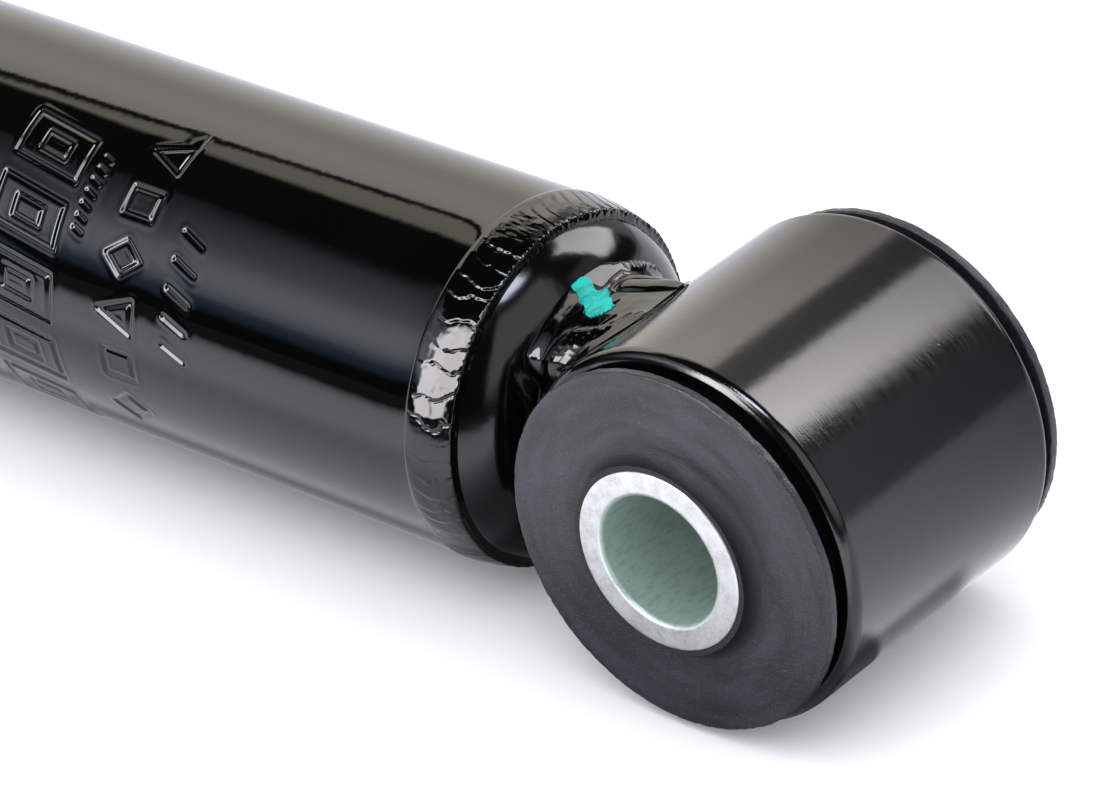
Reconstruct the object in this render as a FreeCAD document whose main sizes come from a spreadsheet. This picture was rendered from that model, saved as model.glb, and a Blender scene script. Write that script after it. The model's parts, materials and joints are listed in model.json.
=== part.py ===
"""Twin-tube shock absorber with an eye and a bonded rubber bush at each end.

Millimetres. The origin is the centre of the lower eye's bore, +X runs along the damper
towards the rod end, +Y is the axis of the lower eye and +Z is up. The damper lies on its
two eye rings, fully extended.
"""
import FreeCAD, Part
import os
import Sketcher

doc = FreeCAD.newDocument("shock_absorber")
os.makedirs("parts", exist_ok=True)

# Every driving size of the part, in millimetres unless it is a count.
DRIVING = [
    # eyes and their bonded rubber bushes
    ("eye_ring_od", 47.0),
    ("eye_ring_wall", 4.0),
    ("eye_ring_width", 37.5),
    ("eye_ring_edge", 1.4),
    ("bush_flange_od", 45.0),
    ("bush_flange_gap", 1.7),
    ("bush_flange_thickness", 1.2),
    ("bush_flange_edge", 0.5),
    ("bush_collar_wall", 0.6),
    ("bush_collar_step", 0.5),
    ("sleeve_od", 22.5),
    ("sleeve_bore", 16.2),
    ("sleeve_length", 47.5),
    ("sleeve_chamfer", 0.5),
    # outer tube, its base cap and the welds
    ("tube_od", 45.0),
    ("tube_wall", 1.5),
    ("tube_length", 270.0),
    ("tube_lip_reach", 7.5),
    ("tube_lip_roll", 3.0),
    ("cap_standoff", 1.5),
    ("cap_thickness", 3.0),
    ("cap_shoulder", 9.0),
    ("cap_tube_step", 10.0),
    ("cap_depth", 18.0),
    ("base_weld_leg", 2.6),
    ("base_weld_toe_run", 0.6),
    ("base_weld_toe_rise", 1.2),
    ("base_weld_crest_shift", 0.4),
    ("base_weld_height", 0.7),
    ("base_weld_round", 1.0),
    ("eye_weld_root_depth", 14.0),
    ("eye_weld_root_width", 34.0),
    ("eye_weld_root_height", 42.4),
    ("eye_weld_waist_depth", 3.5),
    ("eye_weld_waist_width", 29.0),
    ("eye_weld_waist_height", 35.0),
    ("eye_weld_cap_reach", 2.7),
    ("eye_weld_cap_width", 31.0),
    ("eye_weld_cap_height", 36.0),
    ("rod_weld_leg", 5.0),
    ("rod_weld_toe", 0.5),
    ("rod_weld_reach", 3.0),
    ("rod_weld_width", 23.0),
    # clearances: pieces that run on each other, and pieces seated in each other
    ("running_fit", 0.05),
    ("seat_fit", 0.05),
    # pressure tube and base valve
    ("reservoir_gap", 1.45),
    ("pressure_wall", 1.5),
    ("valve_skirt", 8.0),
    ("valve_skirt_wall", 2.2),
    ("valve_flange", 4.0),
    ("valve_spigot", 4.0),
    ("valve_bolt_d", 6.0),
    ("valve_bolt_collar_d", 11.0),
    ("valve_bolt_collar", 2.5),
    ("valve_bolt_head_d", 21.0),
    ("valve_bolt_head", 1.5),
    ("valve_bolt_end", 1.0),
    ("valve_nut_flats", 10.0),
    ("valve_nut_height", 4.0),
    ("valve_disc_od", 18.0),
    ("valve_disc_step", 1.0),
    ("valve_slot_width", 5.0),
    ("valve_slot_height", 4.0),
    ("inner_port_d", 2.0),
    ("inner_port_pitch", 15.2),
    ("outer_port_d", 2.0),
    ("outer_port_margin", 1.8),
    ("disc_thickness", 0.3),
    ("plate_thickness", 0.8),
    ("plate_margin", 0.5),
    ("washer_spring_thickness", 0.4),
    ("washer_spring_gap", 0.2),
    # rod guide and seal pack
    ("seal_washer_thickness", 2.0),
    ("seal_washer_gap", 5.5),
    ("seal_pocket", 8.0),
    ("seal_od", 32.0),
    ("seal_relief", 1.2),
    ("seal_dust_height", 1.5),
    ("seal_dust_wall", 1.2),
    ("seal_dust_land", 1.2),
    ("seal_dust_taper", 3.0),
    ("seal_oil_lip_low", 1.8),
    ("seal_oil_lip_land", 0.7),
    ("seal_oil_lip_taper", 1.8),
    ("guide_web", 12.5),
    ("guide_spigot", 11.0),
    ("guide_bush_wall", 1.5),
    ("guide_bush_inset", 1.0),
    ("o_ring_section", 2.4),
    ("garter_section", 1.8),
    ("garter_inset", 0.9),
    ("garter_depth", 2.9),
    ("garter_mouth", 0.45),
    # piston rod and piston
    ("rod_od", 12.5),
    ("rod_exposed", 165.0),
    ("rod_stud_d", 10.0),
    ("rod_stud_end", 1.0),
    ("rod_chamfer", 0.6),
    ("stop_ring_thickness", 3.0),
    ("stop_ring_od", 21.0),
    ("stop_ring_groove", 0.6),
    ("stop_gap", 0.2),
    ("bumper_height", 8.0),
    ("bumper_od", 22.0),
    ("bumper_round", 1.2),
    ("piston_reach", 20.8),
    ("piston_height", 14.0),
    ("piston_clearance", 0.3),
    ("band_height", 10.0),
    ("band_wall", 0.9),
    ("piston_port_inset", 0.3),
    ("piston_outer_margin", 3.6),
    ("check_stop_flange", 2.4),
    ("check_stop_collar", 3.6),
    ("check_stop_od", 22.0),
    ("check_stop_collar_d", 14.0),
    ("check_plate_margin", 1.5),
    ("rebound_disc_od", 20.0),
    ("rebound_disc_step", 1.0),
    ("rebound_washer_thickness", 2.0),
    ("rebound_washer_od", 16.0),
    ("piston_nut_flats", 16.0),
    ("piston_nut_height", 8.0),
]
INNER_PORTS = 6
OUTER_PORTS = 6
SKIRT_SLOTS = 4
VALVE_DISCS = 4
REBOUND_DISCS = 5

sheet = doc.addObject("Spreadsheet::Sheet", "dims")
for row, (alias, number) in enumerate(DRIVING, start=1):
    sheet.set("A%d" % row, alias)
    sheet.set("B%d" % row, str(number))
    sheet.setAlias("B%d" % row, alias)
doc.recompute()


class Size:
    """A length that carries its value and the sheet formula that gives it."""

    def __init__(self, value, formula):
        self.value = float(value)
        self.formula = formula

    def __add__(self, other):
        other = as_size(other)
        return Size(self.value + other.value, "(%s + %s)" % (self.formula, other.formula))

    def __sub__(self, other):
        other = as_size(other)
        return Size(self.value - other.value, "(%s - %s)" % (self.formula, other.formula))

    def __mul__(self, other):
        other = as_size(other)
        return Size(self.value * other.value, "(%s * %s)" % (self.formula, other.formula))

    def __truediv__(self, other):
        other = as_size(other)
        return Size(self.value / other.value, "(%s / %s)" % (self.formula, other.formula))

    def __neg__(self):
        return Size(-self.value, "(0 - %s)" % self.formula)


def as_size(number):
    if isinstance(number, Size):
        return number
    return Size(number, repr(float(number)))


ZERO = as_size(0)
ROOT_THREE = 3 ** 0.5
SIZES = {alias: Size(number, "dims." + alias) for alias, number in DRIVING}


def square_root(size):
    return Size(size.value ** 0.5, "sqrt(%s)" % size.formula)


def half(alias):
    return SIZES[alias] / 2


def full(alias):
    return SIZES[alias]


def origin_plane(body, role):
    for feature in body.Origin.OriginFeatures:
        if feature.Role == role:
            return feature
    raise ValueError("no plane " + role)


def new_body(label):
    body = doc.addObject("PartDesign::Body", label)
    body.Label = label
    return body


def new_sketch(body, suffix, role):
    sketch = body.newObject("Sketcher::SketchObject", body.Label + suffix)
    sketch.AttachmentSupport = (origin_plane(body, role), [""])
    sketch.MapMode = "FlatFace"
    return sketch


def pin(sketch, geometry, end, across, up):
    """Holds one end of a line, or a circle's centre, at two sizes from the origin."""
    for kind, size, on_axis in (("DistanceX", across, -2), ("DistanceY", up, -1)):
        if size.value == 0:
            sketch.addConstraint(Sketcher.Constraint("PointOnObject", geometry, end, on_axis))
            continue
        held = Sketcher.Constraint(kind, -1, 1, geometry, end, size.value)
        index = sketch.addConstraint(held)
        sketch.setExpression("Constraints[%d]" % index, size.formula)


def polygon(sketch, corners):
    """Draws a closed outline whose every corner is held by two sheet formulas."""
    points = [FreeCAD.Vector(across.value, up.value, 0) for across, up in corners]
    count = len(points)
    for index in range(count):
        sketch.addGeometry(Part.LineSegment(points[index], points[(index + 1) % count]))
    for index in range(count):
        joined = Sketcher.Constraint("Coincident", index, 2, (index + 1) % count, 1)
        sketch.addConstraint(joined)
    for index, (across, up) in enumerate(corners):
        pin(sketch, index, 1, across, up)


def circle(sketch, across, up, radius):
    ring = Part.Circle(FreeCAD.Vector(across.value, up.value, 0),
                       FreeCAD.Vector(0, 0, 1), radius.value)
    index = sketch.addGeometry(ring)
    pin(sketch, index, 3, across, up)
    held = sketch.addConstraint(Sketcher.Constraint("Radius", index, radius.value))
    sketch.setExpression("Constraints[%d]" % held, radius.formula)


def turned(label, corners, axis="H_Axis"):
    """A body turned from an outline: about X with corners (x, r), about Y with (r, y)."""
    body = new_body(label)
    sketch = new_sketch(body, "_outline", "XY_Plane")
    polygon(sketch, corners)
    turn = body.newObject("PartDesign::Revolution", label + "_turn")
    turn.Profile = sketch
    turn.ReferenceAxis = (sketch, [axis])
    turn.Angle = 360.0
    doc.recompute()
    return body


def rim_names(shape, spots, along):
    """Names the circular edges that stand at the given (position, radius) spots."""
    names = []
    for number, edge in enumerate(shape.Edges, start=1):
        if not isinstance(edge.Curve, Part.Circle):
            continue
        for position, radius in spots:
            near = abs(edge.Curve.Center.dot(along) - position.value) < 1e-4
            if near and abs(edge.Curve.Radius - radius.value) < 1e-4:
                names.append("Edge%d" % number)
    return names


ALONG_X = FreeCAD.Vector(1, 0, 0)
ALONG_Y = FreeCAD.Vector(0, 1, 0)


def rounded(body, spots, size, along=ALONG_X):
    tip = body.Tip
    feature = body.newObject("PartDesign::Fillet", body.Label + "_round")
    feature.Base = (tip, rim_names(tip.Shape, spots, along))
    feature.Radius = size.value
    feature.setExpression("Radius", size.formula)
    doc.recompute()


def bevelled(body, spots, size, along=ALONG_X):
    tip = body.Tip
    feature = body.newObject("PartDesign::Chamfer", body.Label + "_bevel")
    feature.Base = (tip, rim_names(tip.Shape, spots, along))
    feature.Size = size.value
    feature.setExpression("Size", size.formula)
    doc.recompute()


def ports(body, suffix, first, radius, count):
    """A ring of round passages through a turned body, along X, from the first one's place."""
    sketch = new_sketch(body, suffix, "YZ_Plane")
    circle(sketch, first[0], first[1], radius)
    drilled = body.newObject("PartDesign::Pocket", body.Label + suffix + "_hole")
    drilled.Profile = sketch
    drilled.Type = "ThroughAll"
    drilled.Midplane = True
    doc.recompute()
    ring = body.newObject("PartDesign::PolarPattern", body.Label + suffix + "_ring")
    ring.Originals = [drilled]
    ring.Axis = (sketch, ["N_Axis"])
    ring.Angle = 360.0
    ring.Occurrences = count
    body.Tip = ring
    doc.recompute()


def hexagon_nut(label, start, height, flats, bore):
    """A plain hexagon nut standing along X from the plane x = start."""
    body = new_body(label)
    sketch = new_sketch(body, "_outline", "YZ_Plane")
    apothem = flats / 2
    point = flats / ROOT_THREE
    corners = [(apothem, point / 2), (ZERO, point), (-apothem, point / 2),
               (-apothem, -(point / 2)), (ZERO, -point), (apothem, -(point / 2))]
    polygon(sketch, corners)
    sketch.setExpression("AttachmentOffset.Base.z", start.formula)
    pad = body.newObject("PartDesign::Pad", label + "_pad")
    pad.Profile = sketch
    pad.Length = height.value
    pad.setExpression("Length", height.formula)
    doc.recompute()
    hole_sketch = new_sketch(body, "_bore", "YZ_Plane")
    circle(hole_sketch, ZERO, ZERO, bore)
    drilled = body.newObject("PartDesign::Pocket", label + "_drill")
    drilled.Profile = hole_sketch
    drilled.Type = "ThroughAll"
    drilled.Midplane = True
    doc.recompute()
    return body


def move_along_x(item, distance):
    item.setExpression("Placement.Base.x", distance.formula)
    doc.recompute()


# Stations along the damper, each from the one before it.
ring_r = half("eye_ring_od")
tube_r = half("tube_od")
tube_inner_r = tube_r - full("tube_wall")
cap_r = tube_inner_r - full("seat_fit")
cap_face = ring_r + full("cap_standoff")
cap_floor = cap_face + full("cap_thickness")
tube_start = cap_face + full("cap_tube_step")
tube_end = tube_start + full("tube_length")
eye_x = tube_end + full("rod_exposed") + ring_r

cap_inner_r = cap_r - full("cap_thickness")
pressure_outer = cap_inner_r - full("reservoir_gap")
pressure_r = pressure_outer - full("pressure_wall")
valve_bottom = cap_floor + full("valve_skirt")
pressure_start = valve_bottom + full("valve_flange")
valve_top = pressure_start + full("valve_spigot")

lip_face = tube_end - full("tube_wall")
washer_face = lip_face - full("seal_washer_thickness")
seal_floor = washer_face - full("seal_pocket")
pressure_end = seal_floor - full("guide_web")
guide_bottom = pressure_end - full("guide_spigot")

rod_r = half("rod_od")
bumper_top = guide_bottom - full("stop_gap")
stop_top = bumper_top - full("bumper_height")
stop_bottom = stop_top - full("stop_ring_thickness")
rod_shoulder = stop_bottom - full("piston_reach")
check_flange = rod_shoulder - full("check_stop_flange")
piston_top = check_flange - full("check_stop_collar")
piston_bottom = piston_top - full("piston_height")
rebound_stack = piston_bottom - full("disc_thickness") * REBOUND_DISCS
rebound_face = rebound_stack - full("rebound_washer_thickness")
piston_nut_end = rebound_face - full("piston_nut_height")
rod_start = piston_nut_end - full("rod_stud_end")
rod_end = eye_x - ring_r

products = []


def eye_ring(label):
    inner = ring_r - full("eye_ring_wall")
    end = half("eye_ring_width")
    body = turned(label, [(inner, -end), (ring_r, -end), (ring_r, end), (inner, end)], "V_Axis")
    edges = [(end, ring_r), (-end, ring_r)]
    rounded(body, edges, full("eye_ring_edge"), ALONG_Y)
    return body


def bush_rubber(label):
    """The rubber fills the ring, spreads into a flange past each end and wraps the sleeve."""
    bore = half("sleeve_od") + full("running_fit")
    waist = ring_r - full("eye_ring_wall") - full("seat_fit")
    flange = half("bush_flange_od")
    back = half("eye_ring_width") + full("bush_flange_gap")
    face = back + full("bush_flange_thickness")
    collar = bore + full("bush_collar_wall")
    tip = half("sleeve_length") - full("bush_collar_step")
    right = [(collar, tip), (collar, face), (flange, face), (flange, back), (waist, back)]
    left = [(across, -up) for across, up in reversed(right)]
    corners = [(bore, tip)] + right + left + [(bore, -tip)]
    body = turned(label, corners, "V_Axis")
    edges = [(face, flange), (-face, flange), (back, flange), (-back, flange)]
    rounded(body, edges, full("bush_flange_edge"), ALONG_Y)
    return body


def bush_sleeve(label):
    bore = half("sleeve_bore")
    outer = half("sleeve_od")
    end = half("sleeve_length")
    body = turned(label, [(bore, -end), (outer, -end), (outer, end), (bore, end)], "V_Axis")
    edges = [(end, bore), (-end, bore), (end, outer), (-end, outer)]
    bevelled(body, edges, full("sleeve_chamfer"), ALONG_Y)
    return body


for side in ("lower", "upper"):
    for build, name in ((eye_ring, "eye_ring"), (bush_rubber, "bush_rubber"),
                        (bush_sleeve, "bush_sleeve")):
        piece = build(side + "_" + name)
        if side == "upper":
            move_along_x(piece, eye_x)
        products.append(piece)


def cap_outline(floor, inner_r):
    return [(cap_face, ZERO), (cap_face, cap_r), (cap_face + full("cap_depth"), cap_r),
            (cap_face + full("cap_depth"), inner_r), (floor, inner_r), (floor, ZERO)]


base_cap = turned("base_cap", cap_outline(cap_floor, cap_inner_r))
rounded(base_cap, [(cap_face, cap_r)], full("cap_shoulder"))
cap_inner_round = full("cap_shoulder") - full("cap_thickness")
rounded(base_cap, [(cap_floor, cap_inner_r)], cap_inner_round)
products.append(base_cap)

lip_r = tube_r - full("tube_lip_reach")
reservoir_tube = turned("reservoir_tube", [
    (tube_start, tube_inner_r), (tube_start, tube_r), (tube_end, tube_r),
    (tube_end, lip_r), (lip_face, lip_r), (lip_face, tube_inner_r)])
rounded(reservoir_tube, [(tube_end, tube_r)], full("tube_lip_roll"))
lip_inner_roll = full("tube_lip_roll") - full("tube_wall")
rounded(reservoir_tube, [(lip_face, tube_inner_r)], lip_inner_roll)
products.append(reservoir_tube)

# The bead between tube and cap lies on the tube's outside, its end face and the cap's side.
bead = full("base_weld_leg")
bead_toe = tube_start - bead
bead_low = (bead_toe + full("base_weld_toe_run"), cap_r + full("base_weld_toe_rise"))
bead_high = (tube_start + full("base_weld_crest_shift"), tube_r + full("base_weld_height"))
base_weld = turned("base_weld", [
    (bead_toe, cap_r), bead_low, bead_high, (tube_start + bead, tube_r),
    (tube_start, tube_r), (tube_start, cap_r)])
rounded(base_weld, [bead_low, bead_high], full("base_weld_round"))
products.append(base_weld)


def eye_cylinder(name, station):
    """The outside of an eye ring as a plain cylinder, longer than the ring."""
    tool = doc.addObject("Part::Cylinder", name)
    length = full("eye_ring_width") * 2
    tool.setExpression("Radius", ring_r.formula)
    tool.setExpression("Height", length.formula)
    tool.Placement = FreeCAD.Placement(FreeCAD.Vector(0, 0, 0),
                                       FreeCAD.Rotation(ALONG_X, -90))
    tool.setExpression("Placement.Base.x", station.formula)
    tool.setExpression("Placement.Base.y", (-length / 2).formula)
    return tool


def cut(name, base, tool):
    result = doc.addObject("Part::Cut", name)
    result.Base = base
    result.Tool = tool
    doc.recompute()
    return result


def weld_section(name, station, width, height):
    """An ellipse across the damper's axis, taller than it is wide."""
    section = doc.addObject("Part::Ellipse", name)
    section.setExpression("MajorRadius", (height / 2).formula)
    section.setExpression("MinorRadius", (width / 2).formula)
    facing_x = FreeCAD.Rotation(FreeCAD.Vector(0, 0, 1), FreeCAD.Vector(0, -1, 0), ALONG_X)
    section.Placement = FreeCAD.Placement(FreeCAD.Vector(0, 0, 0), facing_x)
    section.setExpression("Placement.Base.x", station.formula)
    return section


# The weld that fills the wedge between the lower ring and the base cap, with a waist.
weld_stations = (("root", ring_r - full("eye_weld_root_depth")),
                 ("waist", ring_r - full("eye_weld_waist_depth")),
                 ("cap", cap_face + full("eye_weld_cap_reach")))
sections = []
for place, station in weld_stations:
    width = full("eye_weld_%s_width" % place)
    height = full("eye_weld_%s_height" % place)
    sections.append(weld_section("weld_at_" + place, station, width, height))
weld_block = doc.addObject("Part::Loft", "weld_block")
weld_block.Sections = sections
weld_block.Solid = True
weld_block.Ruled = False
doc.recompute()
cap_solid = turned("cap_solid", [
    (cap_face, ZERO), (cap_face, cap_r), (cap_face + full("cap_depth"), cap_r),
    (cap_face + full("cap_depth"), ZERO)])
rounded(cap_solid, [(cap_face, cap_r)], full("cap_shoulder"))
weld_off_ring = cut("weld_off_ring", weld_block, eye_cylinder("lower_eye_tool", ZERO))
lower_eye_weld = cut("lower_eye_weld", weld_off_ring, cap_solid)
lower_eye_weld.Label = "lower_eye_weld"
products.append(lower_eye_weld)

# The collar of weld between the rod's end and the upper ring.
rod_weld_cone = doc.addObject("Part::Cone", "rod_weld_cone")
rod_weld_depth = full("rod_weld_leg") + full("rod_weld_reach")
rod_weld_cone.setExpression("Radius1", (rod_r + full("rod_weld_toe")).formula)
rod_weld_cone.setExpression("Radius2", half("rod_weld_width").formula)
rod_weld_cone.setExpression("Height", rod_weld_depth.formula)
rod_weld_cone.Placement = FreeCAD.Placement(FreeCAD.Vector(0, 0, 0),
                                            FreeCAD.Rotation(ALONG_Y, 90))
rod_weld_cone.setExpression("Placement.Base.x", (rod_end - full("rod_weld_leg")).formula)
rod_tool = doc.addObject("Part::Cylinder", "rod_tool")
rod_tool.setExpression("Radius", rod_r.formula)
rod_tool.setExpression("Height", full("rod_exposed").formula)
rod_tool.Placement = FreeCAD.Placement(FreeCAD.Vector(0, 0, 0), FreeCAD.Rotation(ALONG_Y, 90))
rod_tool.setExpression("Placement.Base.x", (rod_end - full("rod_exposed")).formula)
rod_weld_on_ring = cut("rod_weld_on_ring", rod_weld_cone, eye_cylinder("upper_eye_tool", eye_x))
upper_eye_weld = cut("upper_eye_weld", rod_weld_on_ring, rod_tool)
upper_eye_weld.Label = "upper_eye_weld"
products.append(upper_eye_weld)

# Pressure tube between the base valve and the rod guide.
products.append(turned("pressure_tube", [
    (pressure_start, pressure_r), (pressure_start, pressure_outer),
    (pressure_end, pressure_outer), (pressure_end, pressure_r)]))

# Base valve body: a slotted skirt stands on the cap's inner shoulder, a spigot fills the tube.
bolt_r = half("valve_bolt_d")
foot_offset = cap_inner_round - full("reservoir_gap")
foot_drop = square_root(cap_inner_round * cap_inner_round - foot_offset * foot_offset)
skirt_foot = cap_face + full("cap_shoulder") - foot_drop + full("seat_fit")
valve_bore = bolt_r + full("seat_fit")
spigot_r = pressure_r - full("seat_fit")
skirt_inner = pressure_outer - full("valve_skirt_wall")
base_valve_body = turned("base_valve_body", [
    (valve_bottom, valve_bore), (valve_bottom, skirt_inner), (skirt_foot, skirt_inner),
    (skirt_foot, pressure_outer), (pressure_start, pressure_outer), (pressure_start, spigot_r),
    (valve_top, spigot_r), (valve_top, valve_bore)])
inner_pitch = half("inner_port_pitch")
outer_pitch = pressure_r - full("outer_port_margin")
ports(base_valve_body, "_inner", (inner_pitch, ZERO), half("inner_port_d"), INNER_PORTS)
ports(base_valve_body, "_outer", (ZERO, outer_pitch), half("outer_port_d"), OUTER_PORTS)
slot = new_sketch(base_valve_body, "_slot", "XY_Plane")
slot_half = half("valve_slot_width")
slot_top = skirt_foot + full("valve_slot_height")
polygon(slot, [(cap_face, -slot_half), (slot_top, -slot_half), (slot_top, slot_half),
               (cap_face, slot_half)])
slot_cut = base_valve_body.newObject("PartDesign::Pocket", "valve_slot_cut")
slot_cut.Profile = slot
slot_cut.Type = "ThroughAll"
slot_cut.Midplane = True
doc.recompute()
slot_ring = base_valve_body.newObject("PartDesign::PolarPattern", "valve_slot_ring")
slot_ring.Originals = [slot_cut]
slot_ring.Axis = (slot, ["H_Axis"])
slot_ring.Angle = 180.0
slot_ring.Occurrences = SKIRT_SLOTS // 2 + 1
base_valve_body.Tip = slot_ring
doc.recompute()
products.append(base_valve_body)

# Base valve bolt: shank, the collar that guides the intake plate, and the stop head.
disc_t = full("disc_thickness")
valve_stack = valve_bottom - disc_t * VALVE_DISCS
valve_nut_end = valve_stack - full("valve_nut_height")
bolt_start = valve_nut_end - full("valve_bolt_end")
collar_r = half("valve_bolt_collar_d")
head_start = valve_top + full("valve_bolt_collar")
head_end = head_start + full("valve_bolt_head")
head_r = half("valve_bolt_head_d")
products.append(turned("base_valve_bolt", [
    (bolt_start, ZERO), (bolt_start, bolt_r), (valve_top, bolt_r), (valve_top, collar_r),
    (head_start, collar_r), (head_start, head_r), (head_end, head_r), (head_end, ZERO)]))
products.append(hexagon_nut("base_valve_nut", valve_nut_end, full("valve_nut_height"),
                            full("valve_nut_flats"), valve_bore))


def disc_stack(label, face, count, outer, step, bore):
    """Spring discs that lie under a face, each smaller than the one above it."""
    corners = [(face, bore), (face, outer)]
    for number in range(count - 1):
        level = face - disc_t * (number + 1)
        corners.append((level, outer - step * number))
        corners.append((level, outer - step * (number + 1)))
    bottom = face - disc_t * count
    corners.append((bottom, outer - step * (count - 1)))
    corners.append((bottom, bore))
    return turned(label, corners)


products.append(disc_stack("compression_discs", valve_bottom, VALVE_DISCS,
                           half("valve_disc_od"), full("valve_disc_step"), valve_bore))


def valve_plate(label, face, bore, outer):
    """A flat plate that lies on a valve seat and lifts off it."""
    seat = face + full("running_fit")
    top = seat + full("plate_thickness")
    return turned(label, [(seat, bore), (seat, outer), (top, outer), (top, bore)])


def washer_spring(label, low, high, inner, outer):
    """A thin dished washer: wide end on the plate, narrow end under the stop."""
    thick = full("washer_spring_thickness")
    gap = full("running_fit")
    return turned(label, [(low + gap, outer), (low + gap + thick, outer),
                          (high - gap, inner), (high - gap - thick, inner)])


plate_t = full("plate_thickness")
running = full("running_fit")
plate_r = pressure_r - full("plate_margin")
intake_plate = valve_plate("intake_plate", valve_top, collar_r + running, plate_r)
ports(intake_plate, "_inner", (inner_pitch, ZERO), half("inner_port_d"), INNER_PORTS)
products.append(intake_plate)
plate_top = valve_top + running + plate_t
products.append(washer_spring("intake_spring", plate_top, head_start,
                              collar_r + full("washer_spring_gap"), head_r))

# Rod guide, with its bush, the seal pocket and a corner for the O-ring.
guide_r = tube_inner_r - full("seat_fit")
ring_space = full("o_ring_section") + full("seat_fit") * 2
seal_pocket_r = half("seal_od") + full("seat_fit")
guide_bush_r = rod_r + running + full("guide_bush_wall")
guide_bore = guide_bush_r + full("seat_fit")
products.append(turned("rod_guide", [
    (guide_bottom, guide_bore), (guide_bottom, spigot_r), (pressure_end, spigot_r),
    (pressure_end, guide_r), (washer_face - ring_space, guide_r),
    (washer_face - ring_space, guide_r - ring_space), (washer_face, guide_r - ring_space),
    (washer_face, seal_pocket_r), (seal_floor, seal_pocket_r), (seal_floor, guide_bore)]))
bush_low = guide_bottom + full("guide_bush_inset")
bush_high = seal_floor - full("guide_bush_inset")
products.append(turned("guide_bush", [
    (bush_low, rod_r + running), (bush_low, guide_bush_r), (bush_high, guide_bush_r),
    (bush_high, rod_r + running)]))


def ring_of_round(label, station, centre_r, section_r):
    """A torus about X."""
    body = new_body(label)
    sketch = new_sketch(body, "_outline", "XY_Plane")
    circle(sketch, station, centre_r, section_r)
    turn = body.newObject("PartDesign::Revolution", label + "_turn")
    turn.Profile = sketch
    turn.ReferenceAxis = (sketch, ["H_Axis"])
    turn.Angle = 360.0
    doc.recompute()
    return body


ring_section = half("o_ring_section")
products.append(ring_of_round("guide_o_ring", washer_face - ring_space / 2,
                              guide_r - ring_space / 2, ring_section))

# Rod seal: an oil lip with a garter spring below, a dust lip through the washer above.
seal_r = half("seal_od")
lip_touch = rod_r + running
relief = lip_touch + full("seal_relief")
washer_bore = rod_r + full("seal_washer_gap")
throat = washer_bore - full("seat_fit")
dust_tip = tube_end + full("seal_dust_height")
oil_lip_low = seal_floor + full("seal_oil_lip_low")
oil_lip_high = oil_lip_low + full("seal_oil_lip_land")
garter = full("garter_section")
groove_inner = relief + full("garter_inset")
groove_outer = groove_inner + garter + full("seat_fit") * 2
groove_depth = seal_floor + full("garter_depth")
products.append(turned("rod_seal", [
    (seal_floor, groove_outer), (seal_floor, seal_r), (washer_face, seal_r),
    (washer_face, throat), (lip_face, throat),
    (dust_tip, lip_touch + full("seal_dust_wall")), (dust_tip, lip_touch),
    (dust_tip - full("seal_dust_land"), lip_touch),
    (lip_face - full("seal_dust_taper"), relief),
    (oil_lip_high + full("seal_oil_lip_taper"), relief), (oil_lip_high, lip_touch),
    (oil_lip_low, lip_touch), (seal_floor, relief), (seal_floor, groove_inner),
    (groove_depth, groove_inner), (groove_depth, groove_outer)]))
garter_station = seal_floor + full("garter_mouth") + garter / 2
products.append(ring_of_round("seal_garter_spring", garter_station,
                              groove_inner + garter / 2 + full("seat_fit"), garter / 2))
washer_r = tube_inner_r - lip_inner_roll - full("seat_fit")
products.append(turned("seal_washer", [
    (washer_face, washer_bore), (washer_face, washer_r), (lip_face, washer_r),
    (lip_face, washer_bore)]))

# Piston rod: stud for the piston, shoulder, stop-ring groove and the chromed shaft.
stud_r = half("rod_stud_d")
groove_r = rod_r - full("stop_ring_groove")
seat = full("seat_fit")
piston_rod = turned("piston_rod", [
    (rod_start, ZERO), (rod_start, stud_r), (rod_shoulder, stud_r), (rod_shoulder, rod_r),
    (stop_bottom - seat, rod_r), (stop_bottom - seat, groove_r), (stop_top + seat, groove_r),
    (stop_top + seat, rod_r), (rod_end, rod_r), (rod_end, ZERO)])
bevelled(piston_rod, [(rod_start, stud_r), (rod_shoulder, rod_r)], full("rod_chamfer"))
products.append(piston_rod)

ring_bore = groove_r + seat
products.append(turned("rebound_stop", [
    (stop_bottom, ring_bore), (stop_bottom, half("stop_ring_od")),
    (stop_top, half("stop_ring_od")), (stop_top, ring_bore)]))
rebound_bumper = turned("rebound_bumper", [
    (stop_top, rod_r + seat), (stop_top, half("bumper_od")),
    (bumper_top, half("bumper_od")), (bumper_top, rod_r + seat)])
rounded(rebound_bumper, [(bumper_top, half("bumper_od"))], full("bumper_round"))
products.append(rebound_bumper)

# Piston set on the stud, from the shoulder down.
stud_bore = stud_r + seat
check_collar_r = half("check_stop_collar_d")
check_stop_r = half("check_stop_od")
products.append(turned("check_stop", [
    (piston_top, stud_bore), (piston_top, check_collar_r), (check_flange, check_collar_r),
    (check_flange, check_stop_r), (rod_shoulder, check_stop_r), (rod_shoulder, stud_bore)]))
land_r = pressure_r - full("piston_clearance")
band_r = pressure_r - running
band_inner = band_r - full("band_wall")
groove_floor = band_inner - running
land = (full("piston_height") - full("band_height")) / 2
piston = turned("piston", [
    (piston_bottom, stud_bore), (piston_bottom, land_r), (piston_bottom + land - running, land_r),
    (piston_bottom + land - running, groove_floor), (piston_top - land + running, groove_floor),
    (piston_top - land + running, land_r), (piston_top, land_r), (piston_top, stud_bore)])
piston_pitch = check_collar_r + half("inner_port_d") + full("piston_port_inset")
ports(piston, "_inner", (piston_pitch, ZERO), half("inner_port_d"), INNER_PORTS)
piston_outer_pitch = pressure_r - full("piston_outer_margin")
ports(piston, "_outer", (ZERO, piston_outer_pitch), half("outer_port_d"), OUTER_PORTS)
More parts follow.
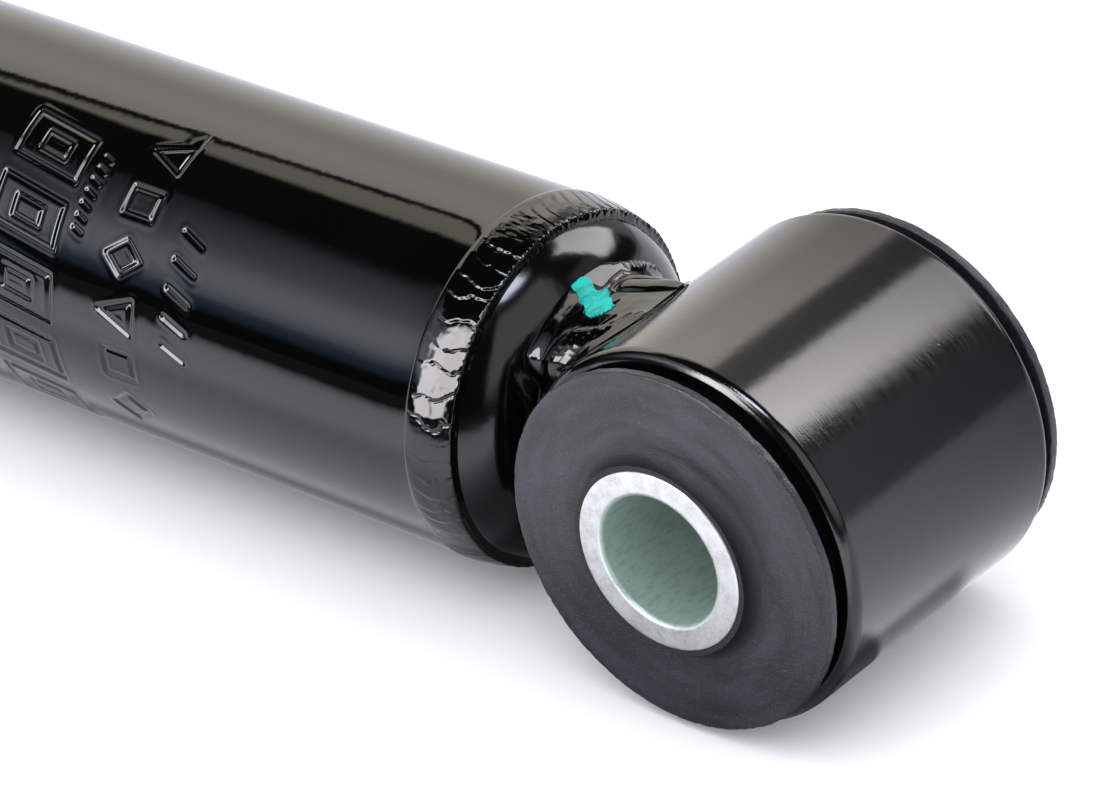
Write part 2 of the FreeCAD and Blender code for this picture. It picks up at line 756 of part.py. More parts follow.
products.append(piston)
products.append(turned("piston_band", [
    (piston_bottom + land, band_inner), (piston_bottom + land, band_r),
    (piston_top - land, band_r), (piston_top - land, band_inner)]))
check_plate_r = pressure_r - full("check_plate_margin")
check_plate = valve_plate("check_plate", piston_top, check_collar_r + running, check_plate_r)
ports(check_plate, "_inner", (piston_pitch, ZERO), half("inner_port_d"), INNER_PORTS)
products.append(check_plate)
check_plate_top = piston_top + running + plate_t
products.append(washer_spring("check_spring", check_plate_top, check_flange,
                              check_collar_r + full("washer_spring_gap"), check_stop_r))
products.append(disc_stack("rebound_discs", piston_bottom, REBOUND_DISCS,
                           half("rebound_disc_od"), full("rebound_disc_step"), stud_bore))
products.append(turned("rebound_washer", [
    (rebound_face, stud_bore), (rebound_face, half("rebound_washer_od")),
    (rebound_stack, half("rebound_washer_od")), (rebound_stack, stud_bore)]))
products.append(hexagon_nut("piston_nut", piston_nut_end, full("piston_nut_height"),
                            full("piston_nut_flats"), stud_bore))

doc.recompute()
for item in doc.Objects:
    if "Invalid" in item.State or "Error" in item.State:
        raise RuntimeError("failed: " + item.Label)
for item in products:
    shape = item.Shape
    if shape.isNull() or not shape.isValid() or not shape.Solids:
        raise RuntimeError("bad shape: " + item.Label)
    shape.exportStep("parts/%s.step" % item.Label)
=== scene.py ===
# %% [markdown]
# A shock absorber, dressed in Blender.
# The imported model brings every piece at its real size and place. This lesson keeps those places and
# makes the pieces that can be seen again as smooth, finely divided meshes, because gloss paint shows
# every flat facet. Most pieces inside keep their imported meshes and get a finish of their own.

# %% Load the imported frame
import json
import math
import random

import bpy
import numpy as np
from mathutils import Matrix, Vector, noise


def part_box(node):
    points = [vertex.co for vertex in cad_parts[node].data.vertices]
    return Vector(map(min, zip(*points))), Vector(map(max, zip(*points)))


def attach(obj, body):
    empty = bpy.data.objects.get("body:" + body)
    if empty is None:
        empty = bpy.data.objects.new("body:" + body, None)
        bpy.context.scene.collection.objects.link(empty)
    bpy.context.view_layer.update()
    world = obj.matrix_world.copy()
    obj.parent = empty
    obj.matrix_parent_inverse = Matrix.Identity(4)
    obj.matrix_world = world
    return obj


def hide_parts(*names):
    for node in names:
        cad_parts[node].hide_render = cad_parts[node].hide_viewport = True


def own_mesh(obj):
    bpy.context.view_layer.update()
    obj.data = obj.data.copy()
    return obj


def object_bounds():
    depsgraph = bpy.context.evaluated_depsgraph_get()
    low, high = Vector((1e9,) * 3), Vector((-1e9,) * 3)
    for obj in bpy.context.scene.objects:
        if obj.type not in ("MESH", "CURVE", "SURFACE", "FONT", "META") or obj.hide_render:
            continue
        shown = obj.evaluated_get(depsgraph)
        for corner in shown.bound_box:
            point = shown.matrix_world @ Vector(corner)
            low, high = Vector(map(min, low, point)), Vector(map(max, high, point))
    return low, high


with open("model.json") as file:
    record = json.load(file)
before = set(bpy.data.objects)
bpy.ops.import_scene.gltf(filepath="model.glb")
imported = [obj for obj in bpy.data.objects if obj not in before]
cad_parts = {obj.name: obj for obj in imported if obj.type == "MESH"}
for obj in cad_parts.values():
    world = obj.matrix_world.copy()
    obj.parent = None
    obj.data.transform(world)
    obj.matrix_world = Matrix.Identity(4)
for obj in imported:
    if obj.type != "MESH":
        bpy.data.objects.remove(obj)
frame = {"nodes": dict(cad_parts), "record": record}
cad_low, cad_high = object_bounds()
bpy.ops.object.select_all(action="DESELECT")
MM = 0.001

# %% [markdown]
# Sizes first. Typing sizes again would let the looks drift away from the model, so they are read from
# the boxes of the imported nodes. The long axis is X, the eye bores lie along Y, and Z is up. An angle
# round the long axis starts at +Y, the side of the camera, and rises towards +Z.

# %% Read the main sizes from the frame, in millimetres


def span(node, axis):
    """Lowest and highest place of a node along an axis (0, 1 or 2), in millimetres."""
    low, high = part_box(node)
    return round(low[axis] / MM, 4), round(high[axis] / MM, 4)


tube_start, tube_end = span("reservoir_tube", 0)
tube_radius = span("reservoir_tube", 2)[1]
cap_end = span("base_cap", 0)[1]
cap_radius = span("base_cap", 2)[1]
bead_end = span("base_weld", 0)[1]
eye_radius = span("lower_eye_ring", 2)[1]
eye_half_width = span("lower_eye_ring", 1)[1]
flange_radius = span("lower_bush_rubber", 2)[1]
sleeve_radius = span("lower_bush_sleeve", 2)[1]
sleeve_half_length = span("lower_bush_sleeve", 1)[1]
rod_start, rod_end = span("piston_rod", 0)
rod_radius = span("piston_rod", 2)[1]
upper_eye_place = sum(span("upper_eye_ring", 0)) / 2
print("tube", tube_start, "to", tube_end, "radius", tube_radius, "eye radius", eye_radius)

# %% [markdown]
# Most of these pieces are round, as things from a lathe are. In Blender a round piece can be a cylinder
# with bevels, or an outline that is spun round a line. Spin is used here, because one outline then holds
# every shoulder, lip and rounded edge of the piece. A long flat stretch next to a rounded edge would be
# shaded as if it bent, so each long stretch gets a point close to either end.

# %% Helpers for outlines


def arc(middle, radius, start, end, count):
    """Points of a round stretch of an outline, from one angle to another, in degrees."""
    points = []
    for step in range(count + 1):
        angle = math.radians(start + (end - start) * step / count)
        points.append((middle[0] + radius * math.cos(angle), middle[1] + radius * math.sin(angle)))
    return points


def held(outline, hold=0.2):
    """Adds points near both ends of each long stretch of a closed outline."""
    points = []
    for start, end in zip(outline, outline[1:] + outline[:1]):
        points.append(start)
        length = math.dist(start, end)
        if length > 4 * hold:
            for share in (hold / length, 1 - hold / length):
                points.append(tuple(first + (last - first) * share for first, last in zip(start, end)))
    return points


def rounded_bar(along, out, outer_edge, inner_edge, count):
    """Outline of a bar between two places along and two places out, with rounded corners."""
    points = arc((along[0] + outer_edge, out[1] - outer_edge), outer_edge, 180, 90, count)
    points += arc((along[1] - outer_edge, out[1] - outer_edge), outer_edge, 90, 0, count)
    points += arc((along[1] - inner_edge, out[0] + inner_edge), inner_edge, 0, -90, count)
    points += arc((along[0] + inner_edge, out[0] + inner_edge), inner_edge, -90, -180, count)
    return points


# %% Helpers for turned pieces
MERGE_GAP = 0.002


def start_piece(name):
    """Names the primitive that was just added."""
    piece = bpy.context.object
    piece.name = name
    piece.data.name = name
    return piece


def vertex_places(piece):
    """All vertex places of a piece as rows of x, y, z in millimetres."""
    places = np.empty(len(piece.data.vertices) * 3)
    piece.data.vertices.foreach_get("co", places)
    return places.reshape(-1, 3) / MM


def put_vertices(piece, places):
    """Moves the vertices of a piece to rows of x, y, z in millimetres."""
    piece.data.vertices.foreach_set("co", (np.asarray(places) * MM).ravel())
    piece.data.update()


def close_mesh():
    """In edit mode, merges the seam, drops loose bits and turns all faces outwards."""
    bpy.ops.mesh.select_all(action="SELECT")
    bpy.ops.mesh.remove_doubles(threshold=MERGE_GAP * MM)
    bpy.ops.mesh.delete_loose()
    bpy.ops.mesh.select_all(action="SELECT")
    bpy.ops.mesh.normals_make_consistent(inside=False)
    bpy.ops.mesh.select_all(action="DESELECT")


def turned(name, outline, axis, middle=0.0, steps=256):
    """Spins a closed outline of (along, out) points about the X axis, or about Y at a place along X."""
    outline = held(outline)
    bpy.ops.object.select_all(action="DESELECT")
    bpy.ops.mesh.primitive_circle_add(vertices=len(outline), radius=1)
    piece = start_piece(name)
    if axis == "X":
        put_vertices(piece, [(along, out, 0) for along, out in outline])
        line = (1, 0, 0)
    else:
        put_vertices(piece, [(middle + out, along, 0) for along, out in outline])
        line = (0, 1, 0)
    bpy.ops.object.mode_set(mode="EDIT")
    bpy.ops.mesh.select_all(action="SELECT")
    bpy.ops.mesh.spin(steps=steps, angle=2 * math.pi, center=(middle * MM, 0, 0), axis=line)
    close_mesh()
    bpy.ops.object.mode_set(mode="OBJECT")
    return piece


def pick(piece):
    """Makes a piece the active one and the only one selected."""
    bpy.ops.object.select_all(action="DESELECT")
    piece.select_set(True)
    bpy.context.view_layer.objects.active = piece


def smooth(piece, angle=35):
    """Shades a piece smooth, apart from edges sharper than an angle in degrees."""
    pick(piece)
    bpy.ops.object.shade_smooth_by_angle(angle=math.radians(angle))
    print(piece.name, "has", len(piece.data.polygons), "faces")


def belongs(piece, body, node):
    """A finished piece stands for its node and moves with its body."""
    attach(piece, body)
    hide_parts(node)


# %% [markdown]
# A few pieces are round but not even: a weld has ripples and a stamped tube has dents. Spinning them in
# thousands of small steps is slow. A flat grid with as many divisions, rolled up like sheet metal, is
# quick, and each of its points can be raised or sunk a little on the way.

# %% Helpers for rolled pieces
NOISE_SHIFT = (17.3, 5.1, 9.7)
FAR_AWAY = 99.0


def rolled(name, across, around, shape):
    """Rolls a flat grid into a piece. shape(column, row) gives x, y, z for arrays of grid indices."""
    bpy.ops.object.select_all(action="DESELECT")
    bpy.ops.mesh.primitive_grid_add(x_subdivisions=across, y_subdivisions=around, size=1)
    piece = start_piece(name)
    column, row = np.meshgrid(np.arange(across + 1), np.arange(around + 1))
    put_vertices(piece, shape(column.ravel(), row.ravel()))
    bpy.ops.object.mode_set(mode="EDIT")
    close_mesh()
    bpy.ops.object.mode_set(mode="OBJECT")
    return piece


def round_about_x(along, out, angle):
    """Places at a distance along X, a distance out from it and an angle round it, in radians."""
    return np.stack([along, out * np.cos(angle), out * np.sin(angle)], axis=1)


def bumpy(places, size, seed):
    """Smooth noise between -1 and 1 for rows of places, with lumps of about the given size."""
    shift = Vector([seed * step for step in NOISE_SHIFT])
    return np.array([noise.noise(Vector(place) / size + shift) for place in places])


def lumps(places, *layers):
    """Sum of noises for rows of places. Each layer is a height, a size of the lumps and a seed."""
    return sum(height * bumpy(places, size, seed) for height, size, seed in layers)


def soft_step(value, low, high):
    """Rises smoothly from 0 to 1 while a value goes from low to high."""
    share = np.clip((value - low) / (high - low), 0, 1)
    return share * share * (3 - 2 * share)


def band(value, start, full, fade, end):
    """Rises from 0 to 1 between start and full, stays, and falls back to 0 between fade and end."""
    return soft_step(value, start, full) * soft_step(-value, -end, -fade)


def distance_to(places, lines):
    """Distance of each place to the nearest of some straight lines, given as pairs of ends."""
    nearest = np.full(places.shape[:-1], FAR_AWAY)
    for start, end in lines:
        run = end - start
        share = np.clip(((places - start) @ run) / (run @ run), 0, 1)
        nearest = np.minimum(nearest, np.linalg.norm(places - start - share[..., None] * run, axis=-1))
    return nearest


# %% [markdown]
# The outer tube is drawn steel, closed at the top by a rolled lip. It is cold-stamped on the camera's
# side. Here the stamp holds plain figures only: slanted frames, diamonds, squares, triangles and ticks.
# They could be cut with a Boolean, but a stamp leaves soft dents with raised lips, so the points of the
# rolled grid are sunk by their distance from each stroke instead.

# %% Strokes of the stamp, as (round, along) places in millimetres
DIAMOND = [(0, -0.5), (0.5, 0), (0, 0.5), (-0.5, 0)]
SQUARE = [(-0.42, -0.42), (0.42, -0.42), (0.42, 0.42), (-0.42, 0.42)]
TRIANGLE = [(-0.5, -0.45), (0.5, -0.45), (0, 0.5)]
FIGURES = (DIAMOND, SQUARE, TRIANGLE)
FRAME = [(-0.5, -0.5), (0.3, -0.5), (0.5, 0.5), (-0.3, 0.5)]
FIGURE_ROW = 83.6
FIGURE_SIZE = (4.2, 5.4)
FIGURE_ANGLES = (-22, -4.4, 13.2, 30.8, 48.4, 66)
TICK_ROW = 74.2
TICK_SIZE = (1.3, 3.4)
TICK_ANGLES = (7, 16, 25, 34, 43)
SMALL_TICK_ROW = 91.6
SMALL_TICK_SIZE = (0.5, 1.3)
SMALL_TICK_ANGLES = (34, 38, 42, 46, 50, 54, 58)
FRAME_ROW = 99.8
FRAME_SIZE = (7.4, 10.6)
FRAME_ANGLES = (-33, -10.5, 12, 34.5, 57)
FRAME_CORE = 0.42


def round_place(degrees):
    """Arc length round the tube's skin, in millimetres."""
    return math.radians(degrees) * tube_radius


def figure(corners, middle, size):
    """Closed strokes through corners that are given in shares of a size about a middle."""
    points = [(middle[0] + size[0] * side, middle[1] + size[1] * rise) for side, rise in corners]
    return list(zip(points, points[1:] + points[:1]))


def tick(degrees, row, size):
    """One slanted stroke."""
    middle = round_place(degrees)
    return (middle - size[0] / 2, row - size[1] / 2), (middle + size[0] / 2, row + size[1] / 2)


strokes = [tick(degrees, TICK_ROW, TICK_SIZE) for degrees in TICK_ANGLES]
strokes += [tick(degrees, SMALL_TICK_ROW, SMALL_TICK_SIZE) for degrees in SMALL_TICK_ANGLES]
for index, degrees in enumerate(FIGURE_ANGLES):
    corners = FIGURES[index % len(FIGURES)]
    strokes += figure(corners, (round_place(degrees), FIGURE_ROW), FIGURE_SIZE)
for degrees in FRAME_ANGLES:
    for core in (1, FRAME_CORE):
        size = (FRAME_SIZE[0] * core, FRAME_SIZE[1] * core)
        strokes += figure(FRAME, (round_place(degrees), FRAME_ROW), size)
strokes = np.array(strokes)
print("stamp:", len(strokes), "strokes")

# %% Roll the tube
TUBE_WALL = 1.5
LIP_ROLL = 3.0
LIP_RADIUS = 15.0
LIP_CHAMFER = 0.3
# the tube's end under the bead is bevelled for the weld
BEVEL_ROOT = 0.9
BEVEL_TOP = 0.4
BEVEL_BACK = 0.8
FLARE_POINTS = 30
FLARE_STEP = 0.4
WELD_FLARE = 0.1
WELD_FLARE_REACH = 1.3
STAMP_STEP = 0.2
STAMP_ZONE = (70.5, 107.5)
STAMP_SECTOR = (-46, 72)
STAMP_DEPTH = 0.17
STAMP_WIDTH = 0.34
STAMP_LIP = 0.04
STAMP_LIP_PLACE = 2.1
STAMP_SINK = 0.03
STAMP_SINK_REACH = 2.2
COARSE_STEP = 3
SKIN_MARGIN = 1.0
SKIN_CLOSE = 0.001
lip_middle = (tube_end - LIP_ROLL, tube_radius - LIP_ROLL)
skin_places = [bead_end + FLARE_STEP * step for step in range(FLARE_POINTS)]
skin_places += list(np.arange(STAMP_ZONE[0], STAMP_ZONE[1], STAMP_STEP))
skin_places += [STAMP_ZONE[1] + SKIN_MARGIN, lip_middle[0] - SKIN_MARGIN]
tube_outline = [(tube_start, tube_radius - TUBE_WALL), (tube_start, tube_radius - BEVEL_ROOT),
                (bead_end - BEVEL_BACK, tube_radius - BEVEL_TOP)]
tube_outline += [(along, tube_radius) for along in skin_places]
tube_outline += arc(lip_middle, LIP_ROLL, 90, 0, 10)
tube_outline += [(tube_end, LIP_RADIUS + LIP_CHAMFER), (tube_end - LIP_CHAMFER, LIP_RADIUS),
                 (tube_end - TUBE_WALL, LIP_RADIUS)]
tube_outline += arc(lip_middle, LIP_ROLL - TUBE_WALL, 0, 90, 6)
tube_outline = np.array(tube_outline)
stamp_turn = math.degrees(STAMP_STEP / tube_radius)
tube_angles = list(np.arange(STAMP_SECTOR[0], STAMP_SECTOR[1], stamp_turn))
tube_angles += list(np.arange(STAMP_SECTOR[1], STAMP_SECTOR[0] + 360 - 1, COARSE_STEP))
tube_angles = np.radians(tube_angles)


def tube_shape(column, row):
    """Places of the tube's grid: the outline turned round, sunk at the strokes and flared at the weld."""
    along, out = tube_outline[column % len(tube_outline)].T
    angle = tube_angles[row % len(tube_angles)]
    around = np.where(angle > math.pi, angle - 2 * math.pi, angle) * tube_radius
    gap = distance_to(np.stack([around, along], axis=1), strokes)
    dent = STAMP_DEPTH * np.exp(-(gap / STAMP_WIDTH) ** 4)
    dent -= STAMP_LIP * np.exp(-((gap - STAMP_LIP_PLACE * STAMP_WIDTH) / STAMP_WIDTH) ** 2)
    dent += STAMP_SINK * np.exp(-(gap / STAMP_SINK_REACH) ** 2)
    flare = WELD_FLARE * np.exp(-np.maximum(along - bead_end, 0) / WELD_FLARE_REACH)
    skin = out > tube_radius - SKIN_CLOSE
    return round_about_x(along, out + np.where(skin, flare - dent, 0), angle)


tube = rolled("tube", len(tube_outline), len(tube_angles), tube_shape)
smooth(tube)
belongs(tube, "reservoir", "reservoir_tube")

# %% [markdown]
# The base cap is a pressed cup with a wide rounded shoulder that stands a little proud of the spigot in
# the tube. A beveled cylinder would do, but the spun outline gives wall and step at the same time.

# %% Turn the base cap
CAP_WALL = 3.0
CAP_SHOULDER = 9.5
CAP_PROUD = 0.65
SHOULDER_INSET = 0.5
SPIGOT_GAP = 0.1
shoulder_middle = (tube_start + SHOULDER_INSET, cap_radius + CAP_PROUD - CAP_SHOULDER)
cap_face_place = shoulder_middle[0] - CAP_SHOULDER
cap_outline = [(cap_face_place, 0.0)]
cap_outline += arc(shoulder_middle, CAP_SHOULDER, 180, 94, 28)
cap_outline += [(tube_start - SPIGOT_GAP, cap_radius), (cap_end, cap_radius),
                (cap_end, cap_radius - CAP_WALL)]
cap_outline += arc(shoulder_middle, CAP_SHOULDER - CAP_WALL - CAP_PROUD, 90, 180, 12)
cap_outline += [(cap_face_place + CAP_WALL, 0.0)]
cap = turned("cap", cap_outline, "X")
smooth(cap)
belongs(cap, "reservoir", "base_cap")


def cap_face(radius):
    """Place along X of the cap's outer face at a radius."""
    past = np.maximum(radius - shoulder_middle[1], 0)
    return shoulder_middle[0] - np.sqrt(np.maximum(CAP_SHOULDER ** 2 - past ** 2, 0))


# %% [markdown]
# The weld between tube and cap was laid as a row of puddles that overlap like fish scales. On the
# camera's side they are large pillows with cracks from the cap's side, on the top they are soft slanted
# waves behind a wrinkled patch, and below they leave thin raised lines. The bead rises from the tube in
# a short slope, leans towards the cap and ends there in a step with fine spatter. It is a rolled grid
# whose points follow the puddles.

# %% Lay out the puddles of the base weld
random.seed(7)
BEAD_RADIUS = 22.4
CRESCENT = 2.3
SLANT = 6.4
SLANT_SECTOR = (60, 95)
FRONT_LENGTH = 0.35
CRACK_WIDTH = 0.17
CRACK_END = (0.9, 1.15)
PUDDLE_SHIFT = 0.7
FIRST_PUDDLE = -70
# first, end and step of equal puddles, in degrees
LINE_FRONTS = (FIRST_PUDDLE, 0, 5.6)
WAVE_FRONTS = (91, 165, 4.8)
BACK_FRONTS = (166, 285, 6)
# front in degrees, height, crack depth, reach of the crack across the bead
PILLOWS = [(3, 0.03, 0, 0), (9.5, 0.05, 0.06, 0.5), (16, 0.12, 0.12, 0.9), (24, 0.12, 0.2, 0.9),
           (32.5, 0.1, 0.3, 0.6), (39.5, 0.1, 0.3, 0.5), (48, 0.13, 0.12, 0.5), (55, 0.16, 0.1, 0.4),
           (61, 0.14, 0.1, 0.4), (67.5, 0.12, 0.08, 0.4), (74.5, 0.14, 0.1, 0.9)]


def equal_puddles(fronts, height, crack_depth=0, reach=0):
    """Rows of equal puddles."""
    return [(front, height, crack_depth, reach) for front in np.arange(*fronts)]


puddle_rows = equal_puddles(LINE_FRONTS, 0.08) + PILLOWS + equal_puddles(WAVE_FRONTS, 0.09)
puddle_rows = np.array(puddle_rows + equal_puddles(BACK_FRONTS, 0.1, 0.08, 0.5))
puddle_fronts = puddle_rows[:, 0] + [random.uniform(-PUDDLE_SHIFT, PUDDLE_SHIFT) for row in puddle_rows]
puddle_ends = np.append(puddle_fronts[1:], puddle_fronts[0] + 360)
print("base weld:", len(puddle_rows), "puddles")


def puddles(degrees, across):
    """Height of the puddles, for angles round the bead and shares across it from tube to cap."""
    at = degrees + CRESCENT * (1 - (2 * across - 1) ** 2)
    at = at + SLANT * across * soft_step(degrees, *SLANT_SECTOR)
    at = (at - puddle_fronts[0]) % 360 + puddle_fronts[0]
    index = np.searchsorted(puddle_fronts, at, side="right") - 1
    height, crack_depth, reach = puddle_rows[index, 1:].T
    past = np.radians(at - puddle_fronts[index]) * BEAD_RADIUS
    left = np.radians(puddle_ends[index] - at) * BEAD_RADIUS
    scale = height * soft_step(past, 0, FRONT_LENGTH) * left / (past + left)
    crack = crack_depth * np.exp(-(past / CRACK_WIDTH) ** 2)
    return scale - crack * soft_step(across, CRACK_END[0] - reach, CRACK_END[1] - reach)


# %% Outline of the base weld
FACE_POINTS = 28
FACE_RISE = 0.05
FACE_ROOT = (0.1, 0.2)
# places along X and how far the face leans towards the cap there, in degrees
BEAD_LEAN = np.array([(38.0, -14), (37.0, 5), (32.0, 13)])
CREST_ROUND = 0.3
CREST_ARC = (115, 200)
# the step down to the cap, as distances from the crest's middle towards the eye, and radii
BEAD_TOE = ((0.35, 21.15), (0.43, 20.95), (0.57, 20.7), (0.6, 20.5))
ROOT_RADIUS = 20.2
ROOT_DEPTH = 1.0
# shares across the bead where puddles begin and are full, and what is left of them on the toe
LIFT_RISE = (0.02, 0.25)
TOE_LIFT = (0.5, 0.15)
face_along = np.linspace(BEAD_LEAN[0, 0], BEAD_LEAN[-1, 0], FACE_POINTS)
face_lean = np.radians(np.interp(-face_along, -BEAD_LEAN[:, 0], BEAD_LEAN[:, 1]))
face_fall = np.cumsum(np.tan(face_lean)) * (face_along[0] - face_along[1])
bead_face = [(face_along[0] + FACE_ROOT[0], tube_radius - FACE_ROOT[1])]
bead_face += list(zip(face_along, tube_radius + FACE_RISE - face_fall))
crest_middle = (bead_face[-1][0] + CREST_ROUND * math.sin(face_lean[-1]),
                bead_face[-1][1] - CREST_ROUND * math.cos(face_lean[-1]))
bead_face += arc(crest_middle, CREST_ROUND, *CREST_ARC, 7)
toe_start = len(bead_face)
bead_width = face_along[0] - bead_face[-1][0]
bead_face += [(crest_middle[0] - away, radius) for away, radius in BEAD_TOE]
root_place = tube_start - SPIGOT_GAP
bead_hidden = [(crest_middle[0], ROOT_RADIUS), (root_place, ROOT_RADIUS),
               (root_place, tube_radius - ROOT_DEPTH)]
bead_outline = np.array(bead_face + bead_hidden)
bead_normal = np.roll(bead_outline, -1, axis=0) - np.roll(bead_outline, 1, axis=0)
bead_normal = np.stack([bead_normal[:, 1], -bead_normal[:, 0]], axis=1)
bead_normal /= np.linalg.norm(bead_normal, axis=1)[:, None]
bead_share = np.clip((face_along[0] - bead_outline[:, 0]) / bead_width, 0, 1)
bead_lift = soft_step(bead_share, *LIFT_RISE)
bead_lift[toe_start:] = 0
bead_lift[toe_start:toe_start + len(TOE_LIFT)] = TOE_LIFT
print("outline of the base weld:", len(bead_outline), "points")

# %% Roll the base weld
BEAD_STEPS = 1200
BEAD_CREASE = 80
# layers of noise, each a height, a size and a seed
WOBBLE = ((2.6, 2.2, 15), (1.04, 0.7, 16))
BEAD_SWELL = (0.06, 3.5, 1)
RIM_WANDER = ((0.2, 6.0, 2), (0.1, 1.5, 8))
WRINKLES = (0.07, 0.5, 4)
SPATTER = (0.15, 0.55, 7)
# on the far side the puddles wobble less
CALM = 0.65
CALM_SECTOR = (85, 95)
WRINKLE_STRETCH = (0.35, 1, 1)
WRINKLE_SECTOR = (75, 77, 88, 92)
WRINKLE_SPAN = (0.1, 0.25, 0.7, 0.9)
SPATTER_SECTOR = (22, 30, 152, 160)
SPATTER_SPAN = (0.95, 0.99)


def bead_shape(column, row):
    """Places of the bead's grid: the outline turned round and raised by puddles, wrinkles and spatter."""
    index = column % len(bead_outline)
    along, out = bead_outline[index].T
    angle = (row % BEAD_STEPS) * 2 * math.pi / BEAD_STEPS
    degrees = (np.degrees(angle) - FIRST_PUDDLE) % 360 + FIRST_PUDDLE
    share = bead_share[index]
    places = round_about_x(along, out, angle)
    rim_places = round_about_x(along * 0, out * 0 + BEAD_RADIUS, angle)
    wobble = lumps(places, *WOBBLE) * (1 - CALM * soft_step(degrees, *CALM_SECTOR))
    rise = puddles(degrees + wobble, share) + lumps(places, BEAD_SWELL)
    wrinkled = band(degrees, *WRINKLE_SECTOR) * band(share, *WRINKLE_SPAN)
    rise += wrinkled * lumps(places * WRINKLE_STRETCH, WRINKLES)
    spattered = band(degrees, *SPATTER_SECTOR) * soft_step(share, *SPATTER_SPAN)
    rise += spattered * lumps(places, SPATTER)
    rise *= bead_lift[index]
    along = along + rise * bead_normal[index, 0] + bead_lift[index] * lumps(rim_places, *RIM_WANDER)
    return round_about_x(along, out + rise * bead_normal[index, 1], angle)


bead = rolled("bead", len(bead_outline), BEAD_STEPS, bead_shape)
smooth(bead, BEAD_CREASE)
belongs(bead, "reservoir", "base_weld")

# %% [markdown]
# The eye ring is a length of thick tube with its edges rounded off. The two rings are equal, so one
# outline serves both, each spun at its own place.

# %% Turn the eye rings
EYE_WALL = 4.0
EYE_EDGE = 1.4
EYE_BORE_EDGE = 0.3
eye_outline = rounded_bar((-eye_half_width, eye_half_width), (eye_radius - EYE_WALL, eye_radius),
                          EYE_EDGE, EYE_BORE_EDGE, 6)


def eye_ring(name, place, node, body):
    ring = turned(name, eye_outline, "Y", middle=place)
    smooth(ring)
    belongs(ring, body, node)
    return ring


lower_ring = eye_ring("lower_ring", 0.0, "lower_eye_ring", "reservoir")
upper_ring = eye_ring("upper_ring", upper_eye_place, "upper_eye_ring", "rod")

# %% [markdown]
# The weld that holds an eye fills the wedge between a round ring and what it is fixed to. Bridging two
# edge loops gives such a skin, but its swells and ridges need points to be moved, so it is rolled too:
# one end of the grid follows the ring, the other follows the cap or the rod, and the rows between sag.

# %% Helpers for the eye welds
WELD_ROWS = 120
WELD_CREASE = 55
WELD_BURY = (0.0, 0.35, 0.7, 0.93)
BURY_DEPTH = 1.2
TINY = 1e-9


def skin_normals(skin, outward):
    """Outward normals of a skin given as rows of places."""
    down = np.gradient(skin, axis=0)
    round_way = np.roll(skin, -1, axis=1) - np.roll(skin, 1, axis=1)
    normal = np.cross(down, round_way)
    normal /= np.maximum(np.linalg.norm(normal, axis=2), TINY)[:, :, None]
    facing = np.sign((normal * outward[None]).sum(axis=2))
    return normal * np.where(facing == 0, 1, facing)[:, :, None]


def weld_skin(name, turns, ring_edge, far_edge, sags, detail):
    """Rolls a weld between two edges. An edge function gives places for angles, a share and a depth.
    A sag is a depth for each turn, with a profile that spreads it between the edges."""
    angle = np.radians(turns)
    outward = np.stack([0 * angle, np.cos(angle), np.sin(angle)], axis=1)
    start = ring_edge(angle, 1.0, 0.0)
    end = far_edge(angle, 1.0, 0.0)
    share = np.linspace(0, 1, WELD_ROWS)[:, None, None]
    skin = start + (end - start) * share
    for sag, profile in sags:
        skin = skin - sag[None, :, None] * profile(share) * outward
    skin = skin + detail(skin)[:, :, None] * skin_normals(skin, outward)
    before = [ring_edge(angle, shrink, BURY_DEPTH) for shrink in WELD_BURY]
    after = [far_edge(angle, shrink, BURY_DEPTH) for shrink in reversed(WELD_BURY)]
    rows = np.concatenate([np.array(before), skin, np.array(after)])

    def shape(column, row):
        return rows[column, row % len(turns)]

    piece = rolled(name, len(rows) - 1, len(turns), shape)
    smooth(piece, WELD_CREASE)
    return piece, skin


def even_profile(share):
    """A sag that is deepest in the middle."""
    return np.sin(math.pi * share) ** 2


def on_skin(skin, turns, angle, share):
    """Place on a skin at an angle in degrees and a share of the way from the ring."""
    return skin[round(share * (WELD_ROWS - 1)), np.abs(turns - angle).argmin()]


# %% [markdown]
# The lower weld ends in a rounded square on the ring and in a circle on the cap, which draws in at the
# sides. It sags most in a valley on the top, close to the cap. The points lie closest on the side that
# is seen most.

# %% Form of the lower weld
SEEN_TURNS = (28, 140, 360)
HIDDEN_TURNS = (140, 388, 240)
WELD_HALF_WIDTH = 17.2
WELD_HALF_HEIGHT = 18.9
WELD_SKEW = 0.14
WELD_CORNER = 4.0
WELD_TUCK = 0.2
TUCK_ANGLES = (12, 42)
FAR_DROP = 0.17
FAR_SECTOR = (95, 108, 160, 190)
FOOT_SIDE = 12.5
FOOT_TOP = 17.1
FOOT_ANGLES = (32, 46)
VALLEY = (0.64, 0.82)
SIDE_SKEW = 2.4
# least sag, how much deeper it gets, at which angle and how far to either side
VALLEY_SAG = (0.1, 1.6, 92, 11)
SIDE_SAG = (0.25, 0.9, 43, 13)
FAR_SAG = 2.2
FAR_SAG_SECTOR = (97, 118, 330, 365)
lower_turns = [np.linspace(*stretch, endpoint=False) for stretch in (SEEN_TURNS, HIDDEN_TURNS)]
lower_turns = np.concatenate(lower_turns)


def off_level(turns):
    """Angle above or below the level plane through the axis, in degrees."""
    return np.abs((turns + 90) % 180 - 90)


